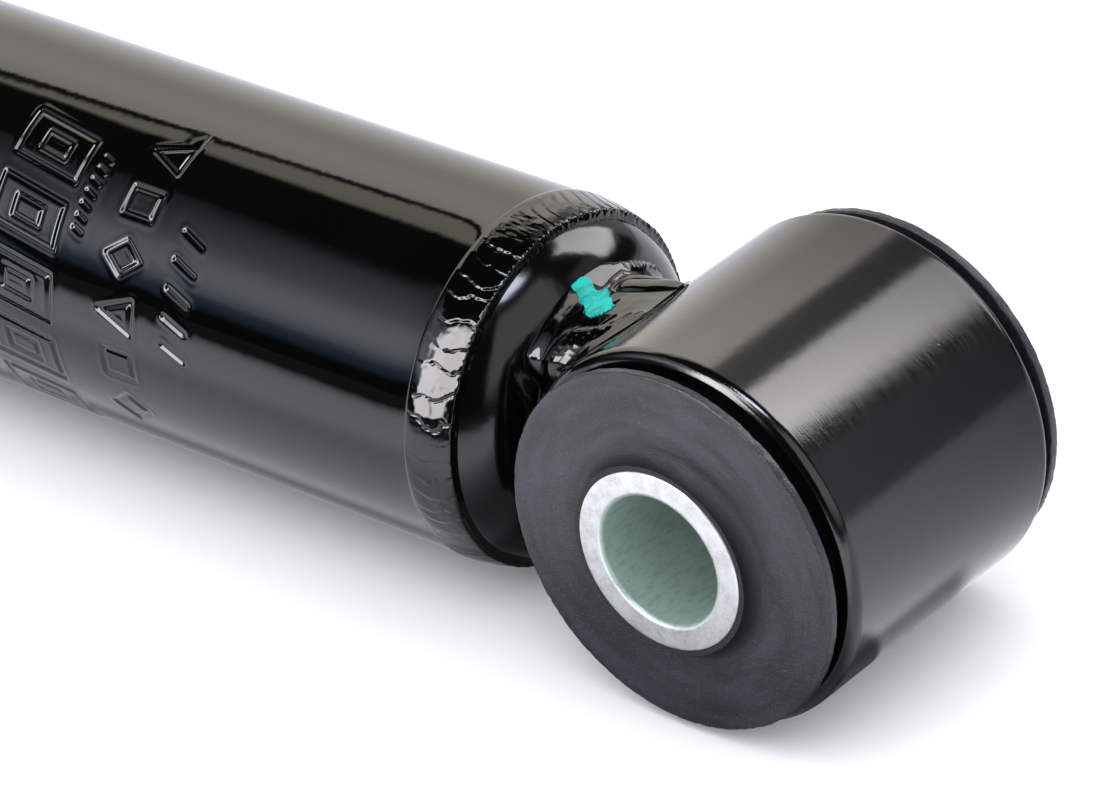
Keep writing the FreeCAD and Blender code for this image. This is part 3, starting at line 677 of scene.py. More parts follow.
def lower_ring_edge(angle, shrink, depth):
    size = (np.abs(np.cos(angle) / WELD_HALF_WIDTH) ** WELD_CORNER
            + np.abs(np.sin(angle) / WELD_HALF_HEIGHT) ** WELD_CORNER) ** (-1 / WELD_CORNER)
    degrees = np.degrees(angle)
    size = size * (1 - FAR_DROP * band(degrees, *FAR_SECTOR))
    side = shrink * size * np.cos(angle)
    side = side * (1 - WELD_TUCK * (1 - soft_step(off_level(degrees), *TUCK_ANGLES)))
    rise = shrink * size * np.sin(angle) * (1 + WELD_SKEW * side / WELD_HALF_HEIGHT)
    inner = eye_radius - depth
    along = np.sqrt(inner ** 2 - (rise * inner / eye_radius) ** 2)
    return np.stack([along, side, rise], axis=1)


def lower_cap_edge(angle, shrink, depth):
    foot = FOOT_SIDE + (FOOT_TOP - FOOT_SIDE) * soft_step(off_level(np.degrees(angle)), *FOOT_ANGLES)
    foot = shrink * foot
    return round_about_x(cap_face(foot) + depth, foot, angle)


def valley_profile(share):
    """A sag close to the cap, with a straight rise up to it."""
    return np.minimum(soft_step(share, *VALLEY), (1 - share) / (1 - VALLEY[1]))


def side_profile(share):
    """A sag that is deepest a little nearer to the cap."""
    return np.sin(math.pi * share ** SIDE_SKEW) ** 2


def deeper_at(turns, least, more, middle, reach):
    """A sag for each turn that gets deeper round one angle."""
    return least + more * np.exp(-((turns - middle) / reach) ** 2)


lower_sags = ((deeper_at(lower_turns, *VALLEY_SAG), valley_profile),
              (deeper_at(lower_turns, *SIDE_SAG), side_profile),
              (FAR_SAG * band(lower_turns, *FAR_SAG_SECTOR), even_profile))
print("lower weld:", len(lower_turns), "points round it")

# %% [markdown]
# On the lower weld a few things catch the eye: a tongue of metal that runs out from the ring over the
# top with a groove round it, a fold behind its tip, a lip and small overlapping scales on the near
# shoulder, hair-fine spatter on the cap and a dark gap along the ring. Each lifts or sinks the points of
# the skin near a path, in a sector or along an edge.

# %% Weld the lower eye
TONGUE = ((87.5, 0.5), (89.5, 0.3), (93, 0.12))
# path of (angle, share) places, distance from it, half width and height in millimetres,
# and how square the ridge is
RIDGES = [(TONGUE, 0, 1.35, 0.4, 4),
          (TONGUE, 1.65, 0.3, -0.3, 2),
          (((46, 0.055), (68, 0.055)), 0, 0.65, 0.45, 2),
          (((85, 0.77), (90, 0.82), (97, 0.84), (105, 0.83), (112, 0.73)), 0, 0.25, 0.22, 2),
          (((58, 0.17), (68, 0.18)), 0, 0.25, 0.3, 2),
          (((55, 0.31), (66, 0.29)), 0, 0.25, 0.3, 2)]
WELD_SWELL = ((0.14, 5.0, 3), (0.04, 1.6, 4))
SCALE_WANDER = ((0.5, 9.0, 21), (0.12, 2.0, 22))
SCALE_SECTOR = (35, 41, 55, 61)
SCALE_SPAN = (0.12, 0.19, 0.61, 0.66)
SCALE_START = 0.17
SCALE_LENGTH = 0.13
SCALE_TREAD = 0.74
SCALE_HEIGHT = 0.95
FADE_ENDS = (0.02, 0.98)
FADE_POWER = 0.4
GAP_DEPTH = 1.3
GAP_SHARE = 0.03
LIP_SECTOR = (102, 110, 130, 140)
LIP_SPAN = (0.94, 1)
LIP_DROP = 0.6
HAIR_HEIGHT = 0.35
HAIR_SIZE = 1.3
HAIR_SEED = 9
HAIR_SPAN = (0.84, 0.9, 0.96, 1)
turn_line = lower_turns[:, None] * (1, 0, 0)


def scales(share):
    """Small overlapping scales on the near shoulder: long treads that face the ring, then short drops."""
    phase = ((share - SCALE_START) / SCALE_LENGTH + lumps(turn_line, *SCALE_WANDER)) % 1
    tread = np.minimum(phase / SCALE_TREAD, (1 - phase) / (1 - SCALE_TREAD))
    return SCALE_HEIGHT * (tread - 0.5) * band(lower_turns, *SCALE_SECTOR) * band(share, *SCALE_SPAN)


def lower_detail(skin):
    share = np.linspace(0, 1, WELD_ROWS)[:, None]
    rise = lumps(skin.reshape(-1, 3), *WELD_SWELL).reshape(skin.shape[:2])
    for places, apart, half_width, height, square in RIDGES:
        path = [on_skin(skin, lower_turns, angle, part) for angle, part in places]
        gap = np.abs(distance_to(skin, zip(path, path[1:])) - apart)
        rise = rise + height * np.exp(-(gap / half_width) ** square)
    rise = rise + scales(share)
    rise = rise * np.sin(math.pi * np.clip(share, *FADE_ENDS)) ** FADE_POWER
    rise = rise - GAP_DEPTH * (share < GAP_SHARE)
    on_top = band(lower_turns, *LIP_SECTOR)
    rise = rise - LIP_DROP * on_top * soft_step(share, *LIP_SPAN)
    hairs = np.maximum(bumpy(turn_line, HAIR_SIZE, HAIR_SEED), 0)
    return rise + HAIR_HEIGHT * hairs * on_top * band(share, *HAIR_SPAN)


lower_weld, lower_skin = weld_skin("lower_weld", lower_turns, lower_ring_edge, lower_cap_edge,
                                   lower_sags, lower_detail)
belongs(lower_weld, "reservoir", "lower_eye_weld")

# %% [markdown]
# Somebody marked the weld as inspected with a dab of teal paint. The dab is a copy of the weld's faces
# inside a ragged patch, divided finer and given a little thickness. A painted mask in the weld's finish
# would be simpler, but a real dab has an edge that catches the light.

# %% Dab the paint on the weld
# paths of (angle, share) places with the patch's half width there, in millimetres
DAB_PATHS = ((((78, 0.76), (69.5, 0.53)), 1.6), (((83, 0.94), (77.5, 0.75)), 1.35))
# a wide cut whose faces are divided, then a ragged one: divisions, reach in half widths, raggedness
DAB_CUTS = ((3, 1.5, 0), (0, 1, 1))
DAB_RAGGED = ((0.2, 1.3, 11), (0.2, 0.3, 12))
DAB_THICKNESS = 0.12
DAB_CREASE = 50


def outside_dab(middles):
    """Distance of each place from the dab's paths, in half widths of the patch."""
    outside = np.full(len(middles), FAR_AWAY)
    for places, half_width in DAB_PATHS:
        path = [on_skin(lower_skin, lower_turns, angle, share) for angle, share in places]
        outside = np.minimum(outside, distance_to(middles, zip(path, path[1:])) / half_width)
    return outside


pick(lower_weld)
bpy.ops.object.duplicate()
weld_dab = start_piece("weld_dab")
for divisions, reach, ragged in DAB_CUTS:
    middles = np.array([face.center for face in weld_dab.data.polygons]) / MM
    limit = reach + ragged * lumps(middles, *DAB_RAGGED)
    weld_dab.data.polygons.foreach_set("select", outside_dab(middles) > limit)
    bpy.ops.object.mode_set(mode="EDIT")
    bpy.ops.mesh.select_mode(type="FACE")
    bpy.ops.mesh.delete(type="FACE")
    if divisions:
        bpy.ops.mesh.select_all(action="SELECT")
        bpy.ops.mesh.subdivide(number_cuts=divisions, smoothness=0)
    bpy.ops.object.mode_set(mode="OBJECT")
film = weld_dab.modifiers.new("paint_film", "SOLIDIFY")
film.thickness = DAB_THICKNESS * MM
film.offset = 1
bpy.ops.object.modifier_apply(modifier=film.name)
smooth(weld_dab, DAB_CREASE)
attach(weld_dab, "reservoir")

# %% [markdown]
# At the other end the ring is welded straight to the rod, with an even ripple all the way round.

# %% Weld the upper eye
UPPER_REACH = 11.2
UPPER_LEG = 5.0
UPPER_SAG = 1.0
UPPER_STEP = 0.15
UPPER_TAPER = 0.4
UPPER_PUDDLES = 18
UPPER_RIPPLE = 0.16
RIPPLE_POWER = 0.5
UPPER_SWELL = (0.12, 2.5, 5)
upper_turns = np.linspace(0, 360, 360, endpoint=False)


def upper_ring_edge(angle, shrink, depth):
    side = shrink * UPPER_REACH * np.cos(angle)
    rise = shrink * UPPER_REACH * np.sin(angle)
    along = upper_eye_place - np.sqrt((eye_radius - depth) ** 2 - rise ** 2)
    return np.stack([along, side, rise], axis=1)


def upper_rod_edge(angle, shrink, depth):
    foot = shrink * (rod_radius + UPPER_STEP - UPPER_TAPER * depth) + 0 * angle
    return round_about_x(rod_end - UPPER_LEG + depth + 0 * angle, foot, angle)


def upper_detail(skin):
    ripple = UPPER_RIPPLE * np.abs(np.sin(np.radians(upper_turns) * UPPER_PUDDLES / 2)) ** RIPPLE_POWER
    swell = lumps(skin.reshape(-1, 3), UPPER_SWELL).reshape(skin.shape[:2])
    return (ripple[None] + swell) * np.sin(np.linspace(0, math.pi, WELD_ROWS))[:, None]


upper_sags = ((np.full(len(upper_turns), UPPER_SAG), even_profile),)
upper_weld = weld_skin("upper_weld", upper_turns, upper_ring_edge, upper_rod_edge,
                       upper_sags, upper_detail)[0]
belongs(upper_weld, "rod", "upper_eye_weld")

# %% [markdown]
# The bush is moulded rubber: a waist inside the ring, a thin flange past each end and a low collar that
# rises softly to the sleeve. One outline, mirrored in code about its middle, is spun for each bush.
# Moulding leaves a ragged flash on the rim of the flange, so the rim's points are pushed in by noise.

# %% Turn the bush rubbers
RUBBER_STEPS = 320
RUBBER_BORE = 11.3
RUBBER_WAIST = 19.45
WAIST_CHAMFER = 0.5
FLANGE_BACK = 20.45
FLANGE_FACE = 21.65
FLANGE_EDGE = 0.25
FLANGE_RINGS = (20.0, 16.0)
COLLAR_RADIUS = 11.9
COLLAR_STEP = 0.12
COLLAR_FILLET = 1.6
FLASH_DEPTH = 0.2
FLASH_RIM = (0.9, 0.2)
# share, size and seed of the flash's notches
FLASH_NOTCHES = ((1, 1.1, 12), (0.5, 5.0, 13))
rim_middle = flange_radius - FLANGE_EDGE
fillet_middle = (FLANGE_FACE + COLLAR_FILLET, COLLAR_RADIUS + COLLAR_FILLET)
collar_face = sleeve_half_length - COLLAR_STEP
half_rubber = [(0, RUBBER_WAIST), (FLANGE_BACK - WAIST_CHAMFER, RUBBER_WAIST),
               (FLANGE_BACK, RUBBER_WAIST + WAIST_CHAMFER)]
half_rubber += arc((FLANGE_BACK + FLANGE_EDGE, rim_middle), FLANGE_EDGE, 180, 90, 4)
half_rubber += arc((FLANGE_FACE - FLANGE_EDGE, rim_middle), FLANGE_EDGE, 90, 0, 4)
half_rubber += [(FLANGE_FACE, radius) for radius in FLANGE_RINGS]
half_rubber += arc(fillet_middle, COLLAR_FILLET, 180, 270, 10)
half_rubber += [(collar_face, COLLAR_RADIUS), (collar_face, RUBBER_BORE)]
rubber_outline = [(-along, out) for along, out in reversed(half_rubber)][:-1] + half_rubber


def bush_rubber(name, place, node, body):
    rubber = turned(name, rubber_outline, "Y", middle=place, steps=RUBBER_STEPS)
    places = vertex_places(rubber)
    out = np.hypot(places[:, 0] - place, places[:, 2])
    rim = soft_step(out, flange_radius - FLASH_RIM[0], flange_radius - FLASH_RIM[1])
    ragged = sum(share * np.abs(bumpy(places, size, seed)) for share, size, seed in FLASH_NOTCHES)
    scale = 1 - rim * FLASH_DEPTH * ragged / out
    places[:, 0] = place + (places[:, 0] - place) * scale
    places[:, 2] *= scale
    put_vertices(rubber, places)
    smooth(rubber)
    belongs(rubber, body, node)
    return rubber


lower_rubber = bush_rubber("lower_rubber", 0.0, "lower_bush_rubber", "reservoir")
upper_rubber = bush_rubber("upper_rubber", upper_eye_place, "upper_bush_rubber", "rod")

# %% [markdown]
# Each sleeve is a thick steel tube, cut square and broken at its edges by a small chamfer.

# %% Turn the bush sleeves
SLEEVE_BORE = 8.1
SLEEVE_EDGE = 0.15
SLEEVE_CHAMFER = 0.45
sleeve_outline = rounded_bar((-sleeve_half_length, sleeve_half_length), (SLEEVE_BORE, sleeve_radius),
                             SLEEVE_EDGE, SLEEVE_CHAMFER, 3)


def bush_sleeve(name, place, node, body):
    sleeve = turned(name, sleeve_outline, "Y", middle=place)
    smooth(sleeve)
    belongs(sleeve, body, node)
    return sleeve


lower_sleeve = bush_sleeve("lower_sleeve_tube", 0.0, "lower_bush_sleeve", "lower_sleeve")
upper_sleeve = bush_sleeve("upper_sleeve_tube", upper_eye_place, "upper_bush_sleeve", "upper_sleeve")

# %% [markdown]
# The rod is ground and chromed, with a stud for the piston and a groove for its stop ring.

# %% Turn the rod
ROD_STEPS = 128
STUD_RADIUS = 5.0
ROD_EDGE = 0.6
GROOVE_DEPTH = 0.6
SEAT_GAP = 0.05
rod_shoulder = span("check_stop", 0)[1]
groove_start, groove_end = span("rebound_stop", 0)
groove_radius = rod_radius - GROOVE_DEPTH
rod_outline = [(rod_start, 0), (rod_start, STUD_RADIUS - ROD_EDGE), (rod_start + ROD_EDGE, STUD_RADIUS),
               (rod_shoulder, STUD_RADIUS), (rod_shoulder, rod_radius - ROD_EDGE),
               (rod_shoulder + ROD_EDGE, rod_radius), (groove_start - SEAT_GAP, rod_radius),
               (groove_start - SEAT_GAP, groove_radius), (groove_end + SEAT_GAP, groove_radius),
               (groove_end + SEAT_GAP, rod_radius), (rod_end, rod_radius), (rod_end, 0)]
rod = turned("rod_shaft", rod_outline, "X", steps=ROD_STEPS)
smooth(rod)
belongs(rod, "rod", "piston_rod")

# %% [markdown]
# Inside, a thin dished washer presses each valve plate on its seat. A imported piece can't change its
# shape, so both washers are turned again here.

# %% Turn the valve springs
SPRING_STEPS = 96
SPRING_THICKNESS = 0.4
INTAKE_BORE = 5.7
CHECK_BORE = 7.2


def valve_spring(name, node, body, bore):
    low, high = span(node, 0)
    outer = span(node, 2)[1]
    outline = [(low, outer), (low + SPRING_THICKNESS, outer), (high, bore), (high - SPRING_THICKNESS, bore)]
    spring = turned(name, outline, "X", steps=SPRING_STEPS)
    smooth(spring)
    belongs(spring, body, node)
    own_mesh(spring)
    return spring


intake_dish = valve_spring("intake_dish", "intake_spring", "reservoir", INTAKE_BORE)
check_dish = valve_spring("check_dish", "check_spring", "rod", CHECK_BORE)

# %% [markdown]
# Now the finishes. A finish is a small network of nodes. What several finishes share, such as the orange
# peel of sprayed paint or the fine lines left by a lathe, is kept once in a node group. All of them read
# the place on the object, so no picture is needed.

# %% Helpers for nodes
# a Mix node has inputs for several kinds of value: these are its factor and its colours
COLOUR_INPUTS = (0, 6, 7)
COLOUR_RESULT = 2


def feed(tree, socket, value):
    """Puts a number, a vector or a colour into a socket, or links another socket to it."""
    if isinstance(value, (int, float)):
        socket.default_value = value
    elif isinstance(value, tuple):
        socket.default_value = value + (1,) * (len(socket.default_value) - len(value))
    else:
        tree.links.new(value, socket)


def fill(tree, inputs, **values):
    """Feeds inputs by their names. An underline in a name stands for a space."""
    for name, value in values.items():
        feed(tree, inputs[name.replace("_", " ")], value)


def link_math(tree, operation, *values):
    """A Math node on sockets or numbers. Gives its result socket."""
    node = tree.nodes.new("ShaderNodeMath")
    node.operation = operation
    for socket, value in zip(node.inputs, values):
        feed(tree, socket, value)
    return node.outputs[0]


def link_vector(tree, operation, first, second, result="Vector"):
    """A Vector Math node on sockets or vectors. Gives its result socket."""
    node = tree.nodes.new("ShaderNodeVectorMath")
    node.operation = operation
    for socket, value in zip(node.inputs, (first, second)):
        feed(tree, socket, value)
    return node.outputs[result]


def link_range(tree, value, low, high, to_low=0.0, to_high=1.0):
    """A smooth step of a value from one range to another."""
    node = tree.nodes.new("ShaderNodeMapRange")
    node.interpolation_type = "SMOOTHSTEP"
    fill(tree, node.inputs, Value=value, From_Min=low, From_Max=high, To_Min=to_low, To_Max=to_high)
    return node.outputs["Result"]


def link_blend(tree, share, first, second, kind="MIX"):
    """Blends two colours, given as sockets or as red, green and blue, by a share."""
    node = tree.nodes.new("ShaderNodeMix")
    node.data_type = "RGBA"
    node.blend_type = kind
    node.clamp_factor = False
    for index, value in zip(COLOUR_INPUTS, (share, first, second)):
        feed(tree, node.inputs[index], value)
    return node.outputs[COLOUR_RESULT]


def link_noise(tree, place, scale, detail=2.0):
    """A noise texture. Gives its value socket."""
    node = tree.nodes.new("ShaderNodeTexNoise")
    fill(tree, node.inputs, Vector=place, Scale=scale, Detail=detail)
    return node.outputs[0]


def link_parts(tree, place):
    """The X, Y and Z of a place, as sockets."""
    node = tree.nodes.new("ShaderNodeSeparateXYZ")
    tree.links.new(place, node.inputs[0])
    return node.outputs


def object_place(tree):
    return tree.nodes.new("ShaderNodeTexCoord").outputs["Object"]


# %% Helpers for shared groups


def shared_group(name, vectors, numbers, results):
    """An empty node group with named inputs and results."""
    group = bpy.data.node_groups.new(name, "ShaderNodeTree")
    for names, way, kind in ((vectors, "INPUT", "NodeSocketVector"), (numbers, "INPUT", "NodeSocketFloat"),
                             (results, "OUTPUT", "NodeSocketFloat")):
        for socket_name in names:
            group.interface.new_socket(name=socket_name, in_out=way, socket_type=kind)
    return group, group.nodes.new("NodeGroupInput").outputs, group.nodes.new("NodeGroupOutput").inputs


def use_group(tree, group, **values):
    """Adds a group to a finish and feeds its inputs. Gives its outputs."""
    node = tree.nodes.new("ShaderNodeGroup")
    node.node_tree = group
    fill(tree, node.inputs, **values)
    return node.outputs


# %% Shared: skin of sprayed or moulded pieces
PEEL_SCALE = 700
GRAIN_SCALE = 5200
MOTTLE_SCALE = 70
DUST_SCALE = 320
DUST_FREE = 0.8
NIB_EDGE = (0.01, 0.07)
paint_skin, entry, leave = shared_group("paint_skin", ["Place"], ["Peel", "Grain", "Nibs"],
                                        ["Height", "Mottle"])
peel = link_noise(paint_skin, entry["Place"], PEEL_SCALE, 1)
peel = link_math(paint_skin, "MULTIPLY", peel, entry["Peel"])
grain = link_noise(paint_skin, entry["Place"], GRAIN_SCALE, 2)
grain = link_math(paint_skin, "MULTIPLY", grain, entry["Grain"])
dust = paint_skin.nodes.new("ShaderNodeTexVoronoi")
fill(paint_skin, dust.inputs, Vector=entry["Place"], Scale=DUST_SCALE)
dust_colour = paint_skin.nodes.new("ShaderNodeSeparateColor")
paint_skin.links.new(dust.outputs["Color"], dust_colour.inputs[0])
nib = link_math(paint_skin, "MULTIPLY", link_range(paint_skin, dust.outputs["Distance"], *NIB_EDGE, 1, 0),
                link_math(paint_skin, "GREATER_THAN", dust_colour.outputs[0], DUST_FREE))
nib = link_math(paint_skin, "MULTIPLY", nib, entry["Nibs"])
skin_height = link_math(paint_skin, "ADD", link_math(paint_skin, "ADD", peel, grain), nib)
fill(paint_skin, leave, Height=skin_height, Mottle=link_noise(paint_skin, entry["Place"], MOTTLE_SCALE, 4))
print("shared group", paint_skin.name, "with", len(paint_skin.nodes), "nodes")

# %% Shared: lines left by a lathe
STREAK_SCALE = 0.23
lathe_lines, entry, leave = shared_group("lathe_lines", ["Place", "Stretch"], [], ["Height", "Streaks"])
line_place = link_vector(lathe_lines, "MULTIPLY", entry["Place"], entry["Stretch"])
fill(lathe_lines, leave, Height=link_noise(lathe_lines, line_place, 1, 2),
     Streaks=link_noise(lathe_lines, line_place, STREAK_SCALE, 4))
print("shared group", lathe_lines.name, "with", len(lathe_lines.nodes), "nodes")

# %% Shared: distance from a bush's axis, and swirls round it
SWIRL_RINGS = 520
SWIRL_TURNS = 1.8
bush_radius, entry, leave = shared_group("bush_radius", ["Place"], ["Middle"], ["Radius", "Swirl"])
bush_parts = link_parts(bush_radius, entry["Place"])
off_middle = link_math(bush_radius, "SUBTRACT", bush_parts["X"], entry["Middle"])
bush_square = link_math(bush_radius, "MULTIPLY", bush_parts["Z"], bush_parts["Z"])
bush_square = link_math(bush_radius, "MULTIPLY_ADD", off_middle, off_middle, bush_square)
bush_out = link_math(bush_radius, "SQRT", bush_square)
swirl_place = bush_radius.nodes.new("ShaderNodeCombineXYZ")
swirl_x = link_math(bush_radius, "DIVIDE", off_middle, bush_out)
swirl_z = link_math(bush_radius, "DIVIDE", bush_parts["Z"], bush_out)
fill(bush_radius, swirl_place.inputs, X=link_math(bush_radius, "MULTIPLY", bush_out, SWIRL_RINGS),
     Y=link_math(bush_radius, "MULTIPLY", swirl_x, SWIRL_TURNS),
     Z=link_math(bush_radius, "MULTIPLY", swirl_z, SWIRL_TURNS))
fill(bush_radius, leave, Radius=bush_out, Swirl=link_noise(bush_radius, swirl_place.outputs[0], 1, 4))
print("shared group", bush_radius.name, "with", len(bush_radius.nodes), "nodes")

# %% Shared: scratches
SCRATCH_EDGE = (0.004, 0.012)
SCRATCH_GAPS = (0.5, 0.6)
SCRATCH_GAP_SCALE = 260
scratches, entry, leave = shared_group("scratches", ["Place"], ["Scale"], ["Lines"])
off_line = link_math(scratches, "SUBTRACT", link_noise(scratches, entry["Place"], entry["Scale"], 0), 0.5)
thin = link_range(scratches, link_math(scratches, "ABSOLUTE", off_line), *SCRATCH_EDGE, 1, 0)
broken = link_range(scratches, link_noise(scratches, entry["Place"], SCRATCH_GAP_SCALE, 3), *SCRATCH_GAPS)
fill(scratches, leave, Lines=link_math(scratches, "MULTIPLY", thin, broken))
print("shared group", scratches.name, "with", len(scratches.nodes), "nodes")

# %% [markdown]
# Gloss black enamel covers tube, cap, welds and rings. Its colour is almost black, so all that is seen of
# it is reflection, and its character lies in how smooth it is. The tube is smoothest. The ring keeps the
# lathe's lines under its paint, and its coat fades along its axis as painted shade, so that its far end
# reflects less. Beside the weld the paint has run thick and smooth, so that the teal dab is mirrored there.

# %% Enamel
BUMP_DEPTH = 0.00001
MIDDLE_RANGE = (0.3, 0.7)
ENAMEL_DARK = (0.0009, 0.0009, 0.001)
ENAMEL_LIGHT = (0.0016, 0.0016, 0.0017)
ROUGH_SPREAD = (0.8, 1.25)


def new_finish(name):
    finish = bpy.data.materials.new(name)
    finish.use_nodes = True
    return finish, finish.node_tree, finish.node_tree.nodes["Principled BSDF"].inputs


def bump(tree, shader, height, depth=BUMP_DEPTH):
    """Raises and sinks the shading by a height socket."""
    node = tree.nodes.new("ShaderNodeBump")
    fill(tree, node.inputs, Strength=1, Distance=depth, Height=height)
    tree.links.new(node.outputs["Normal"], shader["Normal"])
    return node.outputs["Normal"]


def enamel(name, roughness, peel, grain, nibs):
    finish, tree, shader = new_finish(name)
    skin = use_group(tree, paint_skin, Place=object_place(tree), Peel=peel, Grain=grain, Nibs=nibs)
    rough = link_range(tree, skin["Mottle"], *MIDDLE_RANGE, *(roughness * spread for spread in ROUGH_SPREAD))
    tone = link_blend(tree, skin["Mottle"], ENAMEL_DARK, ENAMEL_LIGHT)
    fill(tree, shader, Base_Color=tone, Roughness=rough)
    bump(tree, shader, skin["Height"])
    return finish


tube_enamel = enamel("tube_enamel", 0.045, 0.5, 0.05, 1.5)
cap_enamel = enamel("cap_enamel", 0.13, 1.6, 0.3, 1.5)
weld_enamel = enamel("weld_enamel", 0.06, 1.2, 0.15, 3.0)
print("enamel:", tube_enamel.name, cap_enamel.name, weld_enamel.name)

# %% Enamel of the rings
RING_LINES = (520, 4800, 520)
RING_LINE_HEIGHT = 0.8
GLOSS_REACH = (10.5, 12.5)
GLOSS_ROUGHNESS = 0.03
GLOSS_BUMP = 0.2
WORN_ROUGHNESS = (0.07, 0.14)
RING_SHINE = 0.3
COAT_ROUGHNESS = 0.13
# painted shade: weight of the coat at the ring's middle, and how fast it rises towards the near end
SHADE_COAT_MIDDLE = 0.38
SHADE_COAT_SLOPE = 22.7


def ring_enamel(name, place, weld_side):
    """Enamel of a ring at a place along X, glossy on the side of its weld (1 or -1)."""
    finish, tree, shader = new_finish(name)
    spot = object_place(tree)
    skin = use_group(tree, paint_skin, Place=spot, Peel=0.8, Grain=0.7, Nibs=2.0)
    lines = use_group(tree, lathe_lines, Place=spot, Stretch=RING_LINES)
    sides = link_parts(tree, spot)
    towards_weld = link_math(tree, "MULTIPLY_ADD", sides["X"], weld_side, -weld_side * place * MM)
    worn = link_range(tree, towards_weld, GLOSS_REACH[0] * MM, GLOSS_REACH[1] * MM, 1.0, 0.0)
    rough = link_range(tree, lines["Streaks"], *MIDDLE_RANGE, *WORN_ROUGHNESS)
    rough = link_math(tree, "MULTIPLY_ADD", worn, rough, GLOSS_ROUGHNESS)
    height = link_math(tree, "MULTIPLY_ADD", lines["Height"], RING_LINE_HEIGHT, skin["Height"])
    uneven = link_math(tree, "MULTIPLY_ADD", worn, 1 - GLOSS_BUMP, GLOSS_BUMP)
    height = link_math(tree, "MULTIPLY", height, uneven)
    # painted shade: the coat's weight falls along the ring's axis, so the far end reflects less than the
    # near end
    coat_painted_shade = link_math(tree, "MULTIPLY_ADD", sides["Y"], SHADE_COAT_SLOPE, SHADE_COAT_MIDDLE)
    fill(tree, shader, Base_Color=link_blend(tree, lines["Streaks"], ENAMEL_DARK, ENAMEL_LIGHT),
         Roughness=rough, Specular_IOR_Level=RING_SHINE, Coat_Normal=bump(tree, shader, height),
         Coat_Roughness=COAT_ROUGHNESS, Coat_Weight=link_math(tree, "MULTIPLY", coat_painted_shade, worn))
    return finish


lower_ring_enamel = ring_enamel("ring_lower", 0.0, 1.0)
upper_ring_enamel = ring_enamel("ring_upper", upper_eye_place, -1.0)
print("enamel:", lower_ring_enamel.name, upper_ring_enamel.name)

# %% [markdown]
# The rubber is dusty, with swirls from wiping and fine pale grains. Its collar, in the hollow round the
# sleeve, gets a black colour as painted shade, and is rougher.

# %% Rubber of the bushes
COLLAR_SHADE_REACH = (11.9, 14.8)
COLLAR_PAINTED_SHADE = (0.002, 0.002, 0.002)
RUBBER_DARK = (0.006, 0.008, 0.011)
RUBBER_DUSTY = (0.02, 0.024, 0.03)
RUBBER_GRAIN = (0.05, 0.055, 0.062)
RUBBER_BUMP = 0.00002
COLLAR_ROUGHER = 0.3


def bush_rubber_finish(name, place):
    finish, tree, shader = new_finish(name)
    spot = object_place(tree)
    skin = use_group(tree, paint_skin, Place=spot, Peel=2.0, Grain=3.2, Nibs=4.0)
    bush = use_group(tree, bush_radius, Place=spot, Middle=place * MM)
    # painted shade: the colour turns black towards the collar, in the hollow round the sleeve
    dust_past_painted_shade = link_range(tree, bush["Radius"], COLLAR_SHADE_REACH[0] * MM, COLLAR_SHADE_REACH[1] * MM)
    fine = link_noise(tree, spot, 3400, 3)
    cloud = link_noise(tree, spot, 130, 4)
    tone = link_blend(tree, link_range(tree, bush["Swirl"], 0.35, 0.7), RUBBER_DARK, RUBBER_DUSTY)
    tone = link_blend(tree, link_range(tree, fine, 0.55, 0.75, 0, 0.6), tone, RUBBER_GRAIN)
    wiped = link_math(tree, "MULTIPLY_ADD", bush["Swirl"], 0.5, link_math(tree, "MULTIPLY", cloud, 0.5))
    rough = link_math(tree, "ADD", link_range(tree, wiped, 0.35, 0.65, 0.42, 0.3), COLLAR_ROUGHER)
    # the collar's black is painted shade; further out the rubber is dusty
    fill(tree, shader, Base_Color=link_blend(tree, dust_past_painted_shade, COLLAR_PAINTED_SHADE, tone),
         Roughness=link_math(tree, "MULTIPLY_ADD", dust_past_painted_shade, -COLLAR_ROUGHER, rough))
    bump(tree, shader, skin["Height"], RUBBER_BUMP)
    return finish


rubber_finish = bush_rubber_finish("rubber_lower", 0.0)
upper_rubber_finish = bush_rubber_finish("rubber_upper", upper_eye_place)
print("rubber:", rubber_finish.name, upper_rubber_finish.name)

# %% [markdown]
# The cut ends of the sleeves are bright zinc with faint scratches. The bore is dull and greenish.

# %% Zinc of the sleeves
BORE_LOOK = 8.35
BORE_EDGE = 0.1
ZINC_PALE = (0.62, 0.64, 0.64)
ZINC_DULL = (0.47, 0.475, 0.455)
ZINC_SPARK = (0.75, 0.77, 0.77)
ZINC_SCRATCH = (0.36, 0.37, 0.38)
BORE_PALE = (0.34, 0.44, 0.395)
BORE_DARK = (0.26, 0.34, 0.305)
BORE_PIT = (0.11, 0.12, 0.09)
BORE_GRAIN = (1500, 500, 1500)
BORE_METALLIC_LOSS = 0.65
BORE_ROUGHER = 0.1
SCRATCH_DEPTH = 0.4


